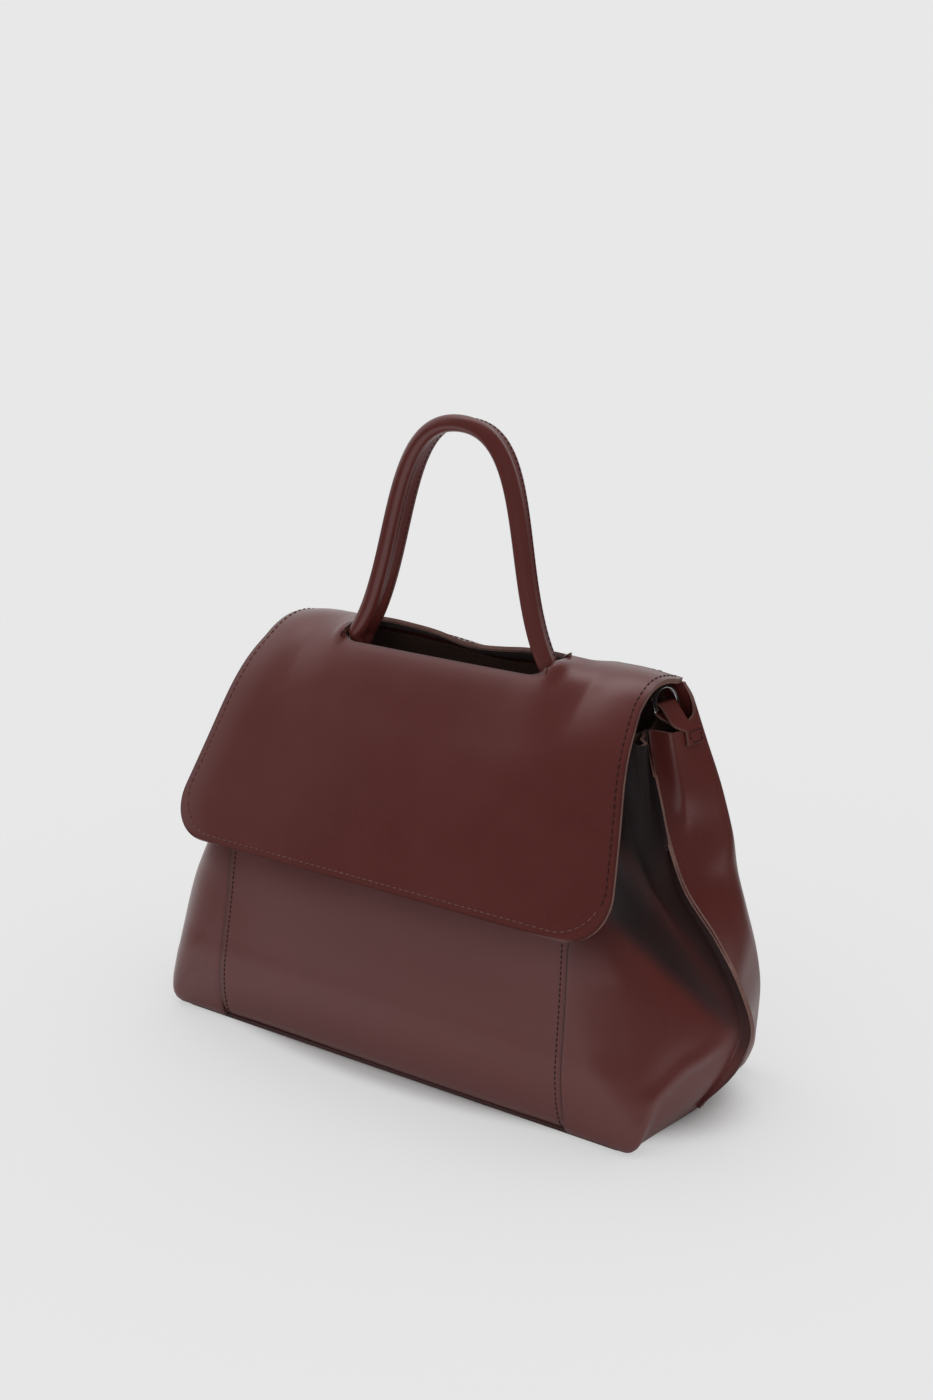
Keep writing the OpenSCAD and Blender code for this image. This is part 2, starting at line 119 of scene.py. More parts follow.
def line_distance(y, z, corners):
    """Distance of points (y, z) from a line through corners, all in the same unit."""
    nearest = np.full(np.shape(y), 1e9)
    for (ay, az), (by, bz) in zip(corners[:-1], corners[1:]):
        t = ((y - ay) * (by - ay) + (z - az) * (bz - az)) / ((by - ay) ** 2 + (bz - az) ** 2)
        t = np.clip(t, 0, 1)
        nearest = np.minimum(nearest, np.hypot(y - mix(ay, by, t), z - mix(az, bz, t)))
    return nearest


def smooth_table(table, x):
    """Cubic through pairs (x, value). Its slope at a pair is taken from the neighbours:
    p(t) = (2t^3-3t^2+1) p0 + (t^3-2t^2+t) m0 + (3t^2-2t^3) p1 + (t^3-t^2) m1."""
    at, value = np.array(table, float).T
    slope = np.gradient(value, at)
    x = np.clip(x, at[0], at[-1])
    k = np.clip(np.searchsorted(at, x, side="right") - 1, 0, len(at) - 2)
    span = at[k + 1] - at[k]
    t = (x - at[k]) / span
    return ((2 * t**3 - 3 * t**2 + 1) * value[k] + (t**3 - 2 * t**2 + t) * slope[k] * span
            + (3 * t**2 - 2 * t**3) * value[k + 1] + (t**3 - t**2) * slope[k + 1] * span)


def grid_normals(points):
    """Cross product of the two directions of a grid of points, made one long. For rows that run up
    and columns that run to the right it points at the viewer."""
    return unit(np.cross(np.gradient(points, axis=1), np.gradient(points, axis=0)))


def outward(grid, back):
    """The directions out of the bag, for a grid on its front or its back."""
    return grid_normals(grid) * (-1 if back else 1)


def grid_faces(rows, cols, wrap=False):
    """Four corners of every square of a rows x cols grid. A wrapped grid closes its columns."""
    i, j = np.meshgrid(np.arange(rows - 1), np.arange(cols if wrap else cols - 1), indexing="ij")
    k = (j + 1) % cols
    return np.stack([i * cols + j, i * cols + k, (i + 1) * cols + k, (i + 1) * cols + j], -1).reshape(-1, 4)


def capped_tube(rings):
    """Faces of a closed tube: wrapped rows of squares and one face at each end."""
    rows, cols = rings.shape[:2]
    faces = grid_faces(rows, cols, wrap=True).tolist()
    faces.append(list(range(cols))[::-1])
    faces.append([(rows - 1) * cols + i for i in range(cols)])
    return faces


def make_mesh(name, points, faces, body, edge=None):
    """A smooth mesh object from points and faces that rides on a body. Its attribute "edge" holds
    each point's distance from the piece's edge, or a long one where none matters."""
    mesh = bpy.data.meshes.new(name)
    faces = faces if isinstance(faces, list) else faces.tolist()
    mesh.from_pydata(np.asarray(points).reshape(-1, 3).tolist(), [], faces)
    mesh.shade_smooth()
    piece = bpy.data.objects.new(name, mesh)
    bpy.context.collection.objects.link(piece)
    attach(piece, body)
    if edge is None:
        edge = np.full(len(mesh.vertices), FAR)
    add_values(piece, "edge", edge)
    return piece


def add_values(piece, name, values):
    """Stores one number a point on a piece, for its material to read."""
    layer = piece.data.attributes.new(name, "FLOAT", "POINT")
    layer.data.foreach_set("value", np.asarray(values, dtype=np.float32).ravel())


def thicken(piece, thickness, offset=-1, bevel=0.0):
    """Gives a sheet its thickness. The rim takes the piece's second material."""
    wall = piece.modifiers.new("wall", "SOLIDIFY")
    wall.thickness = thickness
    wall.offset = offset
    wall.material_offset_rim = 1
    if bevel:
        rounded = piece.modifiers.new("edges", "BEVEL")
        rounded.width = bevel
        rounded.segments = 2
        rounded.limit_method = "ANGLE"
        rounded.angle_limit = math.radians(50)
        rounded.harden_normals = True


# %% [markdown]
# ## Materials
# The leather is smooth and semi-gloss: a fine grain that only shows in the highlights, a colour that
# drifts a little over each panel, and darker paint beside the cut edges. Grain, drift and edge wear
# are shader node groups, because several materials use them with other values.

# %% Node groups for grain, tone and edge


def new_group(name, inputs, output):
    """An empty shader node group with number inputs and one output. Returns it and its end nodes."""
    group = bpy.data.node_groups.new(name, "ShaderNodeTree")
    for label, value in inputs:
        socket = group.interface.new_socket(label, in_out="INPUT", socket_type="NodeSocketFloat")
        socket.default_value = value
    group.interface.new_socket(output, in_out="OUTPUT", socket_type="NodeSocketFloat")
    return group, group.nodes.new("NodeGroupInput"), group.nodes.new("NodeGroupOutput")


def feed(tree, node, values):
    """Fills a node's input sockets, given by name or number. An output socket is linked to its input,
    and anything else is set as a constant."""
    for key, value in values.items():
        if isinstance(value, bpy.types.NodeSocket):
            tree.links.new(value, node.inputs[key])
        else:
            node.inputs[key].default_value = value


def add_node(tree, kind, settings=None, numbered=None, **inputs):
    """A new node. The settings are its properties, the rest fill its input sockets, by number or by
    name."""
    node = tree.nodes.new(kind)
    for key, value in (settings or {}).items():
        setattr(node, key, value)
    feed(tree, node, numbered or {})
    feed(tree, node, {key.replace("_", " "): value for key, value in inputs.items()})
    return node


def number(tree, operation, first, second):
    """Two numbers joined by an operation, such as MULTIPLY."""
    return add_node(tree, "ShaderNodeMath", {"operation": operation}, {0: first, 1: second}).outputs["Value"]


def vector(tree, operation, output, first, second=(0, 0, 0)):
    """One output of an operation on two vectors."""
    settings = {"operation": operation}
    return add_node(tree, "ShaderNodeVectorMath", settings, {0: first, 1: second}).outputs[output]


def ranged(tree, value, before, after=(0, 1), smooth=False):
    """A number moved from one range to another, straight or along a smooth step."""
    kind = "SMOOTHSTEP" if smooth else "LINEAR"
    node = add_node(tree, "ShaderNodeMapRange", {"interpolation_type": kind}, Value=value,
                    From_Min=before[0], From_Max=before[1], To_Min=after[0], To_Max=after[1])
    return node.outputs["Result"]


def blend_of_two(tree, first, second, share):
    """A number that mixes two others by a share."""
    node = add_node(tree, "ShaderNodeMix", {"data_type": "FLOAT"}, Factor=share, A=first, B=second)
    return node.outputs["Result"]


def colour_mix(tree, below, above, share):
    """A colour that mixes two others by a share. The upper one is a constant."""
    node = add_node(tree, "ShaderNodeMix", {"data_type": "RGBA"}, Factor=share, A=below, B=(*above, 1))
    return node.outputs["Result"]


def grain_group():
    """Height of fine grain: small cells with soft edges, mixed with a larger, weaker ripple."""
    sizes = [("Cell size", 1200), ("Ripple size", 90), ("Ripple share", 0.5)]
    group, start, end = new_group("grain", sizes, "Height")
    cell_size, ripple_size, ripple_share = (start.outputs[name] for name, _ in sizes)
    place = add_node(group, "ShaderNodeTexCoord").outputs["Object"]
    cells = add_node(group, "ShaderNodeTexVoronoi", {"feature": "SMOOTH_F1"}, Vector=place, Scale=cell_size)
    ripple = add_node(group, "ShaderNodeTexNoise", Vector=place, Scale=ripple_size, Detail=3.0)
    height = blend_of_two(group, cells.outputs["Distance"], ripple.outputs["Fac"], ripple_share)
    feed(group, end, {"Height": height})
    return group


def tone_group():
    """A slow drift from 0 to 1 over the surface, with a finer one mixed in."""
    sizes = [("Size", 9), ("Fine size", 60), ("Fine share", 0.3)]
    group, start, end = new_group("tone", sizes, "Tone")
    size, fine_size, fine_share = (start.outputs[name] for name, _ in sizes)
    place = add_node(group, "ShaderNodeTexCoord").outputs["Object"]
    slow = add_node(group, "ShaderNodeTexNoise", Vector=place, Scale=size, Detail=2.0)
    fine = add_node(group, "ShaderNodeTexNoise", Vector=place, Scale=fine_size, Detail=4.0)
    feed(group, end, {"Tone": blend_of_two(group, slow.outputs["Fac"], fine.outputs["Fac"], fine_share)})
    return group


def edge_group():
    """1 at the edge of a piece, falling to 0 at the given distance. Reads the attribute "edge"."""
    group, start, end = new_group("edge wear", [("Reach", 0.004)], "Mask")
    distance = add_node(group, "ShaderNodeAttribute", {"attribute_name": "edge"}).outputs["Fac"]
    mask = ranged(group, distance, (0, start.outputs["Reach"]), (1, 0), smooth=True)
    feed(group, end, {"Mask": mask})
    return group


grain = grain_group()
tone = tone_group()
edge_wear = edge_group()
print("node groups:", [g.name for g in (grain, tone, edge_wear)])

# %% Leather, edge, lining, thread, metal, board


def new_material(name, **sockets):
    """An empty material with one Principled shader. Sockets that stay constant are set on it."""
    material = bpy.data.materials.new(name)
    material.use_nodes = True
    shader = material.node_tree.nodes["Principled BSDF"]
    feed(material.node_tree, shader, {key.replace("_", " "): value for key, value in sockets.items()})
    return material, shader


def two_tone(material, shader, dark, light, rough_low, rough_high, **sizes):
    """Drives colour from dark to light, and roughness from low to high, by the slow drift. Returns
    both."""
    tree = material.node_tree
    drift = add_node(tree, "ShaderNodeGroup", {"node_tree": tone}, **sizes).outputs["Tone"]
    share = ranged(tree, drift, (0.3, 0.7))
    rough = ranged(tree, share, (0, 1), (rough_low, rough_high))
    colour = colour_mix(tree, (*dark, 1), light, share)
    feed(tree, shader, {"Roughness": rough, "Base Color": colour})
    return colour, rough


def add_grain(material, shader, strength, depth, **sizes):
    """Feeds the grain's height to a Bump node."""
    tree = material.node_tree
    height = add_node(tree, "ShaderNodeGroup", {"node_tree": grain}, **sizes).outputs["Height"]
    bump = add_node(tree, "ShaderNodeBump", Strength=strength, Distance=depth, Height=height)
    feed(tree, shader, {"Normal": bump.outputs["Normal"]})


EDGE_REACH = 2.0 * MM
EDGE_SHARE = 0.6
EDGE_COLOUR = (0.036, 0.0085, 0.008)
# Painted shade: the colour, and the roughness, that the leather takes where the attribute "fold" marks a
# fold in shade
PAINTED_FOLD_SHADE = (0.010, 0.0035, 0.0035)
FOLD_ROUGHNESS = 0.62


def leather_material():
    """Oxblood leather, darker beside its edges, with painted shade in its folds: darker there, and duller.
    """
    material, shader = new_material("leather", Specular_IOR_Level=0.7, Specular_Tint=(1.0, 0.85, 0.88, 1))
    colour, rough = two_tone(material, shader, (0.092, 0.0185, 0.0150), (0.112, 0.0235, 0.0190), 0.26, 0.34)
    tree = material.node_tree
    wear = add_node(tree, "ShaderNodeGroup", {"node_tree": edge_wear}, Reach=EDGE_REACH).outputs["Mask"]
    worn = colour_mix(tree, colour, EDGE_COLOUR, number(tree, "MULTIPLY", wear, EDGE_SHARE))
    # Painted shade: the attribute "fold" darkens the colour towards the painted fold shade and makes it
    # duller
    fold = add_node(tree, "ShaderNodeAttribute", {"attribute_name": "fold"}).outputs["Fac"]
    painted_shade_colour = colour_mix(tree, worn, PAINTED_FOLD_SHADE, fold)
    dull = blend_of_two(tree, rough, FOLD_ROUGHNESS, fold)
    feed(tree, shader, {"Base Color": painted_shade_colour, "Roughness": dull})
    add_grain(material, shader, 0.04, 0.1 * MM, Cell_size=1400.0, Ripple_size=150.0, Ripple_share=0.05)
    return material


def edge_material():
    """The cut edge of the leather: painted, duller and a little lighter."""
    material, shader = new_material("leather_edge", Specular_IOR_Level=0.45)
    two_tone(material, shader, (0.125, 0.052, 0.044), (0.210, 0.110, 0.090), 0.45, 0.6,
             Size=60.0, Fine_size=700.0, Fine_share=0.5)
    add_grain(material, shader, 0.35, 0.3 * MM, Cell_size=1800.0, Ripple_size=500.0, Ripple_share=0.6)
    return material


def lining_material():
    """Brown suede-like lining: dull, with a nap that varies in tone."""
    sheen = {"Sheen_Weight": 0.05, "Sheen_Roughness": 0.5}
    material, shader = new_material("lining", Specular_IOR_Level=0.05, **sheen)
    two_tone(material, shader, (0.060, 0.033, 0.026), (0.100, 0.060, 0.047), 0.85, 0.95,
             Size=25.0, Fine_size=900.0, Fine_share=0.5)
    add_grain(material, shader, 0.5, 0.25 * MM, Cell_size=2600.0, Ripple_size=900.0, Ripple_share=0.5)
    return material


def thread_material(name, dark, light):
    """Waxed thread with a slight twist in its surface."""
    material, shader = new_material(name, Specular_IOR_Level=0.4)
    two_tone(material, shader, dark, light, 0.4, 0.55, Size=40.0, Fine_size=1500.0, Fine_share=0.6)
    add_grain(material, shader, 0.5, 0.15 * MM, Cell_size=4000.0, Ripple_size=2500.0, Ripple_share=0.4)
    return material


def metal_material():
    """Polished nickel with faint wear."""
    material, shader = new_material("metal", Metallic=1.0)
    two_tone(material, shader, (0.60, 0.60, 0.62), (0.74, 0.74, 0.76), 0.12, 0.24,
             Size=80.0, Fine_size=900.0)
    add_grain(material, shader, 0.08, 0.05 * MM, Cell_size=2500.0, Ripple_size=600.0, Ripple_share=0.5)
    return material


def board_material():
    """Pressed fibre board and cotton cord, both hidden inside."""
    material, shader = new_material("board", Specular_IOR_Level=0.25)
    two_tone(material, shader, (0.20, 0.16, 0.12), (0.30, 0.25, 0.20), 0.8, 0.95, Size=30.0, Fine_size=800.0)
    add_grain(material, shader, 0.4, 0.3 * MM, Cell_size=1500.0, Ripple_size=400.0, Ripple_share=0.7)
    return material


leather = leather_material()
leather_edge = edge_material()
lining = lining_material()
# The lighter thread is painted light: the flap's stitches where light falls on them
painted_light_thread = thread_material("painted_light_thread", (0.10, 0.030, 0.026), (0.19, 0.072, 0.062))
dark_thread = thread_material("dark_thread", (0.024, 0.0065, 0.006), (0.044, 0.012, 0.011))
metal = metal_material()
board = board_material()
print("materials:", len(bpy.data.materials))


def dress(piece, slot_name, *materials):
    """Gives a piece its materials; its slot name is not used."""
    for material in materials:
        piece.data.materials.append(material)


# %% [markdown]
# ## Shape of the body
# In plan the body is a long box whose sides are folded: low down the fold stands out as a wing, and
# near the mouth it is drawn in. Each measure changes with height, so each is a short list of pairs
# (height share, size share), joined by a smooth curve. The same lists made the solids.

# %% Body sizes and shares
base_w = 330 * MM
base_d = 127 * MM
wing_w = 395 * MM
body_h = 235 * MM
front_h = 221 * MM
side_h = 213 * MM
seam_base_w = 254 * MM
seam_top_w = 234 * MM
corner_r = 28 * MM
leather_t = 2 * MM
lining_t = 1 * MM
fin_w = 5.5 * MM
base_t = 3 * MM
board_t = 2 * MM
move_gap = 0.4 * MM
lining_gap = 0.7 * MM
top_lift = 1.4 * MM

front_shares = [
    (0, 1), (0.025, 1.08), (0.06, 1.125), (0.11, 1.15), (0.17, 1.145), (0.24, 1.105), (0.34, 1.05),
    (0.45, 1), (0.55, 0.945), (0.64, 0.875), (0.75, 0.765), (0.87, 0.55), (1, 0.25)]
back_shares = [
    (0, 1), (0.025, 1.055), (0.06, 1.095), (0.11, 1.12), (0.17, 1.13), (0.24, 1.12), (0.34, 1.085),
    (0.45, 1.035), (0.55, 0.975), (0.64, 0.93), (0.75, 0.84), (0.87, 0.73), (1, 0.58)]
front_corner_shares = [
    (0, 1), (0.025, 1.025), (0.06, 1.035), (0.11, 1.03), (0.17, 1.015), (0.24, 0.995), (0.34, 0.97),
    (0.45, 0.935), (0.55, 0.91), (0.64, 0.895), (0.75, 0.875), (0.87, 0.85), (1, 0.825)]
back_corner_shares = [
    (0, 0.99), (0.025, 1.005), (0.06, 1.02), (0.11, 1.025), (0.17, 1.03), (0.24, 1.035), (0.34, 1.03),
    (0.45, 1.01), (0.55, 0.985), (0.64, 0.97), (0.75, 0.945), (0.87, 0.885), (1, 0.835)]
tip_shares = [
    (0, 0.86), (0.025, 0.87), (0.06, 0.9), (0.11, 0.94), (0.17, 0.975), (0.24, 1), (0.34, 0.97),
    (0.45, 0.88), (0.55, 0.78), (0.64, 0.75), (0.75, 0.727), (0.87, 0.696), (1, 0.673)]
front_round_shares = [
    (0, 0.1), (0.06, 0.35), (0.17, 0.8), (0.24, 1), (0.34, 1.15), (0.45, 1.15), (0.64, 1),
    (0.75, 0.9), (0.87, 0.65), (1, 0.4)]
back_round_shares = [
    (0, 0.1), (0.06, 0.2), (0.17, 0.45), (0.24, 0.6), (0.34, 0.75), (0.64, 0.75), (0.75, 0.65),
    (0.87, 0.4), (1, 0.2)]
fin_shares = [
    (0, 0.2), (0.025, 0.4), (0.06, 0.6), (0.11, 0.8), (0.17, 0.95), (0.24, 1), (0.34, 0.75),
    (0.45, 0.8), (0.55, 0.75), (0.64, 0.3), (0.75, 0.2), (1, 0.2)]


def face_y(z, back):
    """Distance of the front or back face from the middle plane, with its sign."""
    share = smooth_table(back_shares if back else front_shares, z / body_h)
    return base_d / 2 * (share if back else -share)


def corner_x(z, back):
    """Half the width between the corners."""
    return base_w / 2 * smooth_table(back_corner_shares if back else front_corner_shares, z / body_h)


def tip_x(z):
    """Half the width between the side seams."""
    return wing_w / 2 * smooth_table(tip_shares, z / body_h)


def seam_x(z):
    """Half the distance between the upright seams, which lean in towards the top."""
    return mix(seam_base_w, seam_top_w, z / body_h) / 2


# %% Side panels in plan
CORNER_START = 0.25
CORNER_END = 0.65
SEAM_FOLD = np.array([-12, 10]) * MM


def seam_fold(z, share, back):
    """How far a side panel is folded inwards beside the side seam, near the mouth: two numbers."""
    near = step(share, CORNER_END + (0.19 if back else 0.0), 1.0)
    return SEAM_FOLD * (step(z, 125 * MM, 205 * MM) * near)[..., None]


def side_plan(z, share, back):
    """Plan point of a side panel. From the upright seam (share 0) it runs straight to the corner,
    round it on a quadratic curve, and straight on to the side seam (share 1)."""
    seam = np.stack([seam_x(z), face_y(z, back)], -1)
    corner = np.stack([corner_x(z, back), face_y(z, back)], -1)
    tip = np.stack([tip_x(z), np.zeros_like(z)], -1)
    rounding = corner_r * smooth_table(back_round_shares if back else front_round_shares, z / body_h)
    rounding = np.minimum(rounding, 0.95 * (corner_x(z, back) - seam_x(z)))[..., None]
    start = corner + rounding * unit(seam - corner)
    end = corner + rounding * unit(tip - corner)
    t = share[..., None]
    straight = mix(seam, start, t / CORNER_START)
    curve = bend(start, corner, end, (t - CORNER_START) / (CORNER_END - CORNER_START))
    side = mix(end, tip, (t - CORNER_END) / (1 - CORNER_END))
    return np.where(t < CORNER_START, straight, np.where(t < CORNER_END, curve, side))


def side_top(share, back):
    """Height of the side panel's top edge: level at the side seam, rising round the corner."""
    high = body_h + top_lift if back else front_h
    end = 0.80 if back else CORNER_END
    return mix(high, side_h, np.clip((share - CORNER_START) / (end - CORNER_START), 0, 1))


def back_sag(x):
    """How far the bag's back edge hangs down in the middle, between the handle's feet."""
    return 4.5 * MM * hump(x, 12 * MM, 38 * MM)


ROWS = 90
side_shares = np.concatenate([
    np.linspace(0, CORNER_START, 14)[:-1], np.linspace(CORNER_START, CORNER_END, 26)[:-1],
    np.linspace(CORNER_END, 0.96, 26)[:-1], np.linspace(0.96, 1, 6)])


def side_grid(back, low=base_t, drop=0.0):
    """Grid of a right side panel's outer surface, rows from bottom to top."""
    level, share = np.meshgrid(np.linspace(0, 1, ROWS), side_shares, indexing="ij")
    z = mix(low, side_top(share, back) - drop, level)
    return np.concatenate([side_plan(z, share, back) + seam_fold(z, share, back), z[..., None]], -1)


def face_grid(back, low=base_t, drop=0.0, cols=80):
    """Grid of the front or back panel's outer surface, from the left seam to the right one."""
    level, across = np.meshgrid(np.linspace(0, 1, ROWS), np.linspace(-1, 1, cols), indexing="ij")
    high = body_h + top_lift - back_sag(across * seam_x(body_h)) if back else front_h
    z = mix(low, high - drop, level)
    return np.stack([across * seam_x(z), face_y(z, back), z], -1)


def flipped(grid):
    """The grid mirrored to the other side, with its columns still running to the right."""
    return grid[:, ::-1] * [-1, 1, 1]


print("panel grid:", side_grid(False).shape)

# %% [markdown]
# ## Panels
# Leather that is folded into a box doesn't stay a perfect loft: the front bows a little, the sides
# crease from under the flap to the wing, and each seam pulls the leather in beside it. These soft
# forms are added to the grids as smooth bumps along the surface normals.

# %% Front and back panels
SEAM_PULL = 0.5 * MM
SEAM_REACH = 3 * MM


def run_along(grid):
    """Distance along each row from its first column."""
    steps = np.linalg.norm(np.diff(grid, axis=1), axis=-1)
    return np.concatenate([np.zeros((len(grid), 1)), np.cumsum(steps, 1)], 1)


def side_distance(grid, left=True, right=True):
    """Distance of each point from the nearer of its row's chosen ends."""
    run = run_along(grid)
    far = np.full_like(run, 1.0)
    return np.minimum(run if left else far, run[:, -1:] - run if right else far)


def panel_piece(name, grid, distance, back, node, bevel=0.4 * MM):
    """A leather panel from its outer grid, which stands for one node of the frame."""
    faces = grid_faces(*grid.shape[:2])
    piece = make_mesh(name, grid, faces[:, ::-1] if back else faces, "bag", distance)
    thicken(piece, leather_t, -1, bevel)
    dress(piece, "leather", leather, leather_edge)
    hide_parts(node)
    return piece


def face_soft(grid, back):
    """Gentle bows of the front and back panels."""
    x, z = grid[..., 0], grid[..., 2]
    if back:
        return 1.0 * MM * np.sin(x / (60 * MM) - 0.4) * hump(z, 80 * MM, 70 * MM)
    wave = 0.8 * MM * np.sin(x / (47 * MM) + 0.6) * hump(z, 60 * MM, 55 * MM)
    return wave + 0.7 * MM * hump(x, -70 * MM, 50 * MM) * hump(z, 90 * MM, 30 * MM)


face_grids = {}
for back, name in ((False, "front_panel"), (True, "back_panel")):
    grid = face_grid(back)
    out = outward(grid, back)
    lift = face_soft(grid, back) * step(side_distance(grid), 0, 25 * MM)
    face_grids[back] = grid + out * lift[..., None]
    panel_piece(name + "_leather", face_grids[back], side_distance(grid), back, name)
print("front and back panels:", face_grids[False].shape)

# %% Side panels with their raw seam edges
FIN_SHARES = np.array([0.15, 0.4, 0.7, 1.0])
# Folds of the front side panel, seen from the side: each runs through places (y, z) in mm
STREAK = [(-60, 178), (-44, 161), (-21, 126), (-13, 93), (-3, 58)]
VALLEY_HIGH = [(-40, 200), (-30, 178), (-12, 128), (-8, 100), (-5, 70)]
VALLEY_LOW = [(-60, 140), (-55, 131), (-41, 107), (-24, 83), (-8, 62)]
FOOT_RIDGE = [(-68, 3), (-56, 30), (-34, 44), (-13, 50), (-2, 54)]
# Each fold's line, how far it stands out and how wide it is, in mm
SIDE_FOLDS = [(STREAK, 2.2, 7), (VALLEY_HIGH, -3.4, 9), (VALLEY_LOW, -3.0, 10), (FOOT_RIDGE, 2.4, 5.5)]
# Bumps of the back side panel: height, then place and width along z and along y, in mm
BACK_BUMPS = [(-2.2, 158, 16, 10, 12), (1.8, 136, 15, 24, 16), (2.6, 138, 24, 42, 17)]
PLEAT_HEIGHT = 1.1
PLEAT_PITCH = 2.1
PLEAT_LOW, PLEAT_FULL = 158, 200
# Painted shade darkens the leather above a line z = VALLEY_FOOT - VALLEY_SLOPE * y
VALLEY_SLOPE = 1.5
VALLEY_FOOT = 50
# Strengths of the painted shade above that line, at the pinch and on the back panel, and of the painted
# highlight that takes some of it away along the streak
VALLEY_DARK, PINCH_DARK, BACK_DARK, STREAK_PAINTED_HIGHLIGHT = 0.82, 0.18, 0.85, 0.30


def side_soft(grid, back):
    """Folds of a side panel. On the front one a ridge and two valleys run from under the flap to
    the wing, another ridge runs there from the lower corner, and small pleats lie above the pinch.
    The back one has a dent beside the pinch and a soft bulge under it."""
    y, z = grid[..., 1] / MM, grid[..., 2] / MM
    if back:
        return sum(high * hump(z, at_z, wide_z) * hump(y, at_y, wide_y)
                   for high, at_z, wide_z, at_y, wide_y in BACK_BUMPS) * MM
    folds = sum(high * hump(line_distance(y, z, line), 0, wide) for line, high, wide in SIDE_FOLDS)
    return (folds + PLEAT_HEIGHT * np.sin(y / PLEAT_PITCH) * step(z, PLEAT_LOW, PLEAT_FULL)) * MM


def side_shade(grid, back):
    """Painted shade where the leather lies in a fold, from 0 to 1, with a painted highlight that lessens it
    along the streak.
    """
    y, z = grid[..., 1] / MM, grid[..., 2] / MM
    if back:
        return BACK_DARK * step(-y, -9, -1) * step(z, 150, 175)
    above = VALLEY_DARK * step(z + VALLEY_SLOPE * y - VALLEY_FOOT, -14, 8)
    pinch = PINCH_DARK * step(z - 0.9 * y, 140, 175)
    streak = STREAK_PAINTED_HIGHLIGHT * hump(line_distance(y, z, STREAK), 0, 6)
    return np.clip(above + pinch - streak, 0, 1)


def side_with_fin(back):
    """A right side panel's outer surface, carried on past the side seam as a flat raw edge."""
    grid = side_grid(back)
    out = outward(grid, back)
    lift = side_soft(grid, back) * step(1 - side_shares, 0.04, 0.2)
    lift = lift - SEAM_PULL * np.clip(1 - side_distance(grid, right=False) / SEAM_REACH, 0, 1) ** 2
    shade = side_shade(grid, back)
    grid = grid + out * lift[..., None]
    z = grid[:, -1:, 2]
    fold = seam_fold(z, np.ones_like(z), back)
    side = 1 if back else -1
    grid[..., 1] = fold[..., 1] + side * np.maximum(side * (grid[..., 1] - fold[..., 1]), leather_t)
    width = fin_w * smooth_table(fin_shares, z / body_h)
    x = tip_x(z) + fold[..., 0] + width * FIN_SHARES
    wave = 0.6 * MM * np.sin(z / (15 * MM)) * FIN_SHARES * step(z, 8 * MM, 30 * MM)
    fin = np.stack([x, fold[..., 1] + side * leather_t + wave, np.broadcast_to(z, x.shape)], -1)
    return np.concatenate([grid, fin], 1), np.pad(shade, ((0, 0), (0, len(FIN_SHARES))), mode="edge")


side_grids = {}
for back in (False, True):
    side_grids[back], shade = side_with_fin(back)
    distance = side_distance(side_grids[back])
    for side_name, grid, turn in (("right", side_grids[back], 1), ("left", flipped(side_grids[back]), -1)):
        node = ("back_side_panel_" if back else "front_side_panel_") + side_name
        piece = panel_piece(node + "_leather", grid, distance[:, ::turn], back, node, 0.3 * MM)
        # The painted shade reaches the leather material as the attribute "fold"
        add_values(piece, "fold", shade[:, ::turn])
print("side panels:", side_grids[False].shape)

# %% [markdown]
# ## Base and inside
# The base is one stiff plate of leather whose raw edge shows under the panels. Inside lie a board, a
# lining on it, two lining sheets that follow the panels and a flat pocket. They are the same surfaces
# again, moved inwards, so they can't poke through the leather.

# %% Base panel, board and floor lining


def base_outline(depth, ledge=0.0, radius=5 * MM, count=9):
    """Plan of the base, moved in by depth: four rounded corners and a blunt point at each wing. The
    front edge may stand out by a ledge."""
    tip = tip_x(0.0) - depth
    front = np.array([corner_x(0.0, False) - depth, face_y(0.0, False) + depth - ledge])
    rear = np.array([corner_x(0.0, True) - depth, face_y(0.0, True) - depth])
    corners = np.array([front, [tip, 0], rear, rear * [-1, 1], [-tip, 0], front * [-1, 1]])
    before = unit(np.roll(corners, 1, 0) - corners)
    after = unit(np.roll(corners, -1, 0) - corners)
    t = np.linspace(0, 1, count)[:, None, None]
    reach = np.array([1.5, 0.8, 1.5, 1.5, 0.8, 1.5])[:, None] * radius
    rounded = bend(corners + before * reach, corners, corners + after * reach, t)
    return rounded.transpose(1, 0, 2).reshape(-1, 2)


def plate(name, node, depth, ledge, low, high, round_edge, slot_name, *materials):
    """A flat plate between two heights, whose edge is rounded by moving its end outlines in."""
    steps = [(low, round_edge), (low + round_edge, 0), (high - round_edge, 0), (high, round_edge)]
    rings = np.array([np.insert(base_outline(depth + inset, ledge), 2, z, axis=1) for z, inset in steps])
    piece = make_mesh(name, rings, capped_tube(rings), "bag")
    piece.data.set_sharp_from_angle(angle=math.radians(35))
    dress(piece, slot_name, *materials)
    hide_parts(node)
    return piece


base = plate("base_leather", "base_panel", 1 * MM, 4 * MM, 0.0, base_t, 0.5 * MM, "leather_edge", leather)
# The base takes a share of the painted fold shade, so it reads dark under the panels
add_values(base, "fold", np.full(len(base.data.vertices), 0.6))
floor_z = base_t + board_t
plate("stiff_board", "base_board", leather_t + move_gap, 0.0, base_t, floor_z, 0.3 * MM, "board", board)
plate("floor_suede", "floor_lining", leather_t + lining_gap + lining_t + move_gap, 0.0, floor_z,
      floor_z + lining_t, 0.2 * MM, "lining", lining)
print("plates: base, board, floor lining")

# %% Linings and pocket
lining_low = base_t + board_t + 0.1 * MM
lining_drop = 1 * MM
lining_depth = leather_t + lining_gap
pocket_t = 1.2 * MM
# In mm
pocket_w, pocket_h, pocket_low = 150, 95, 85


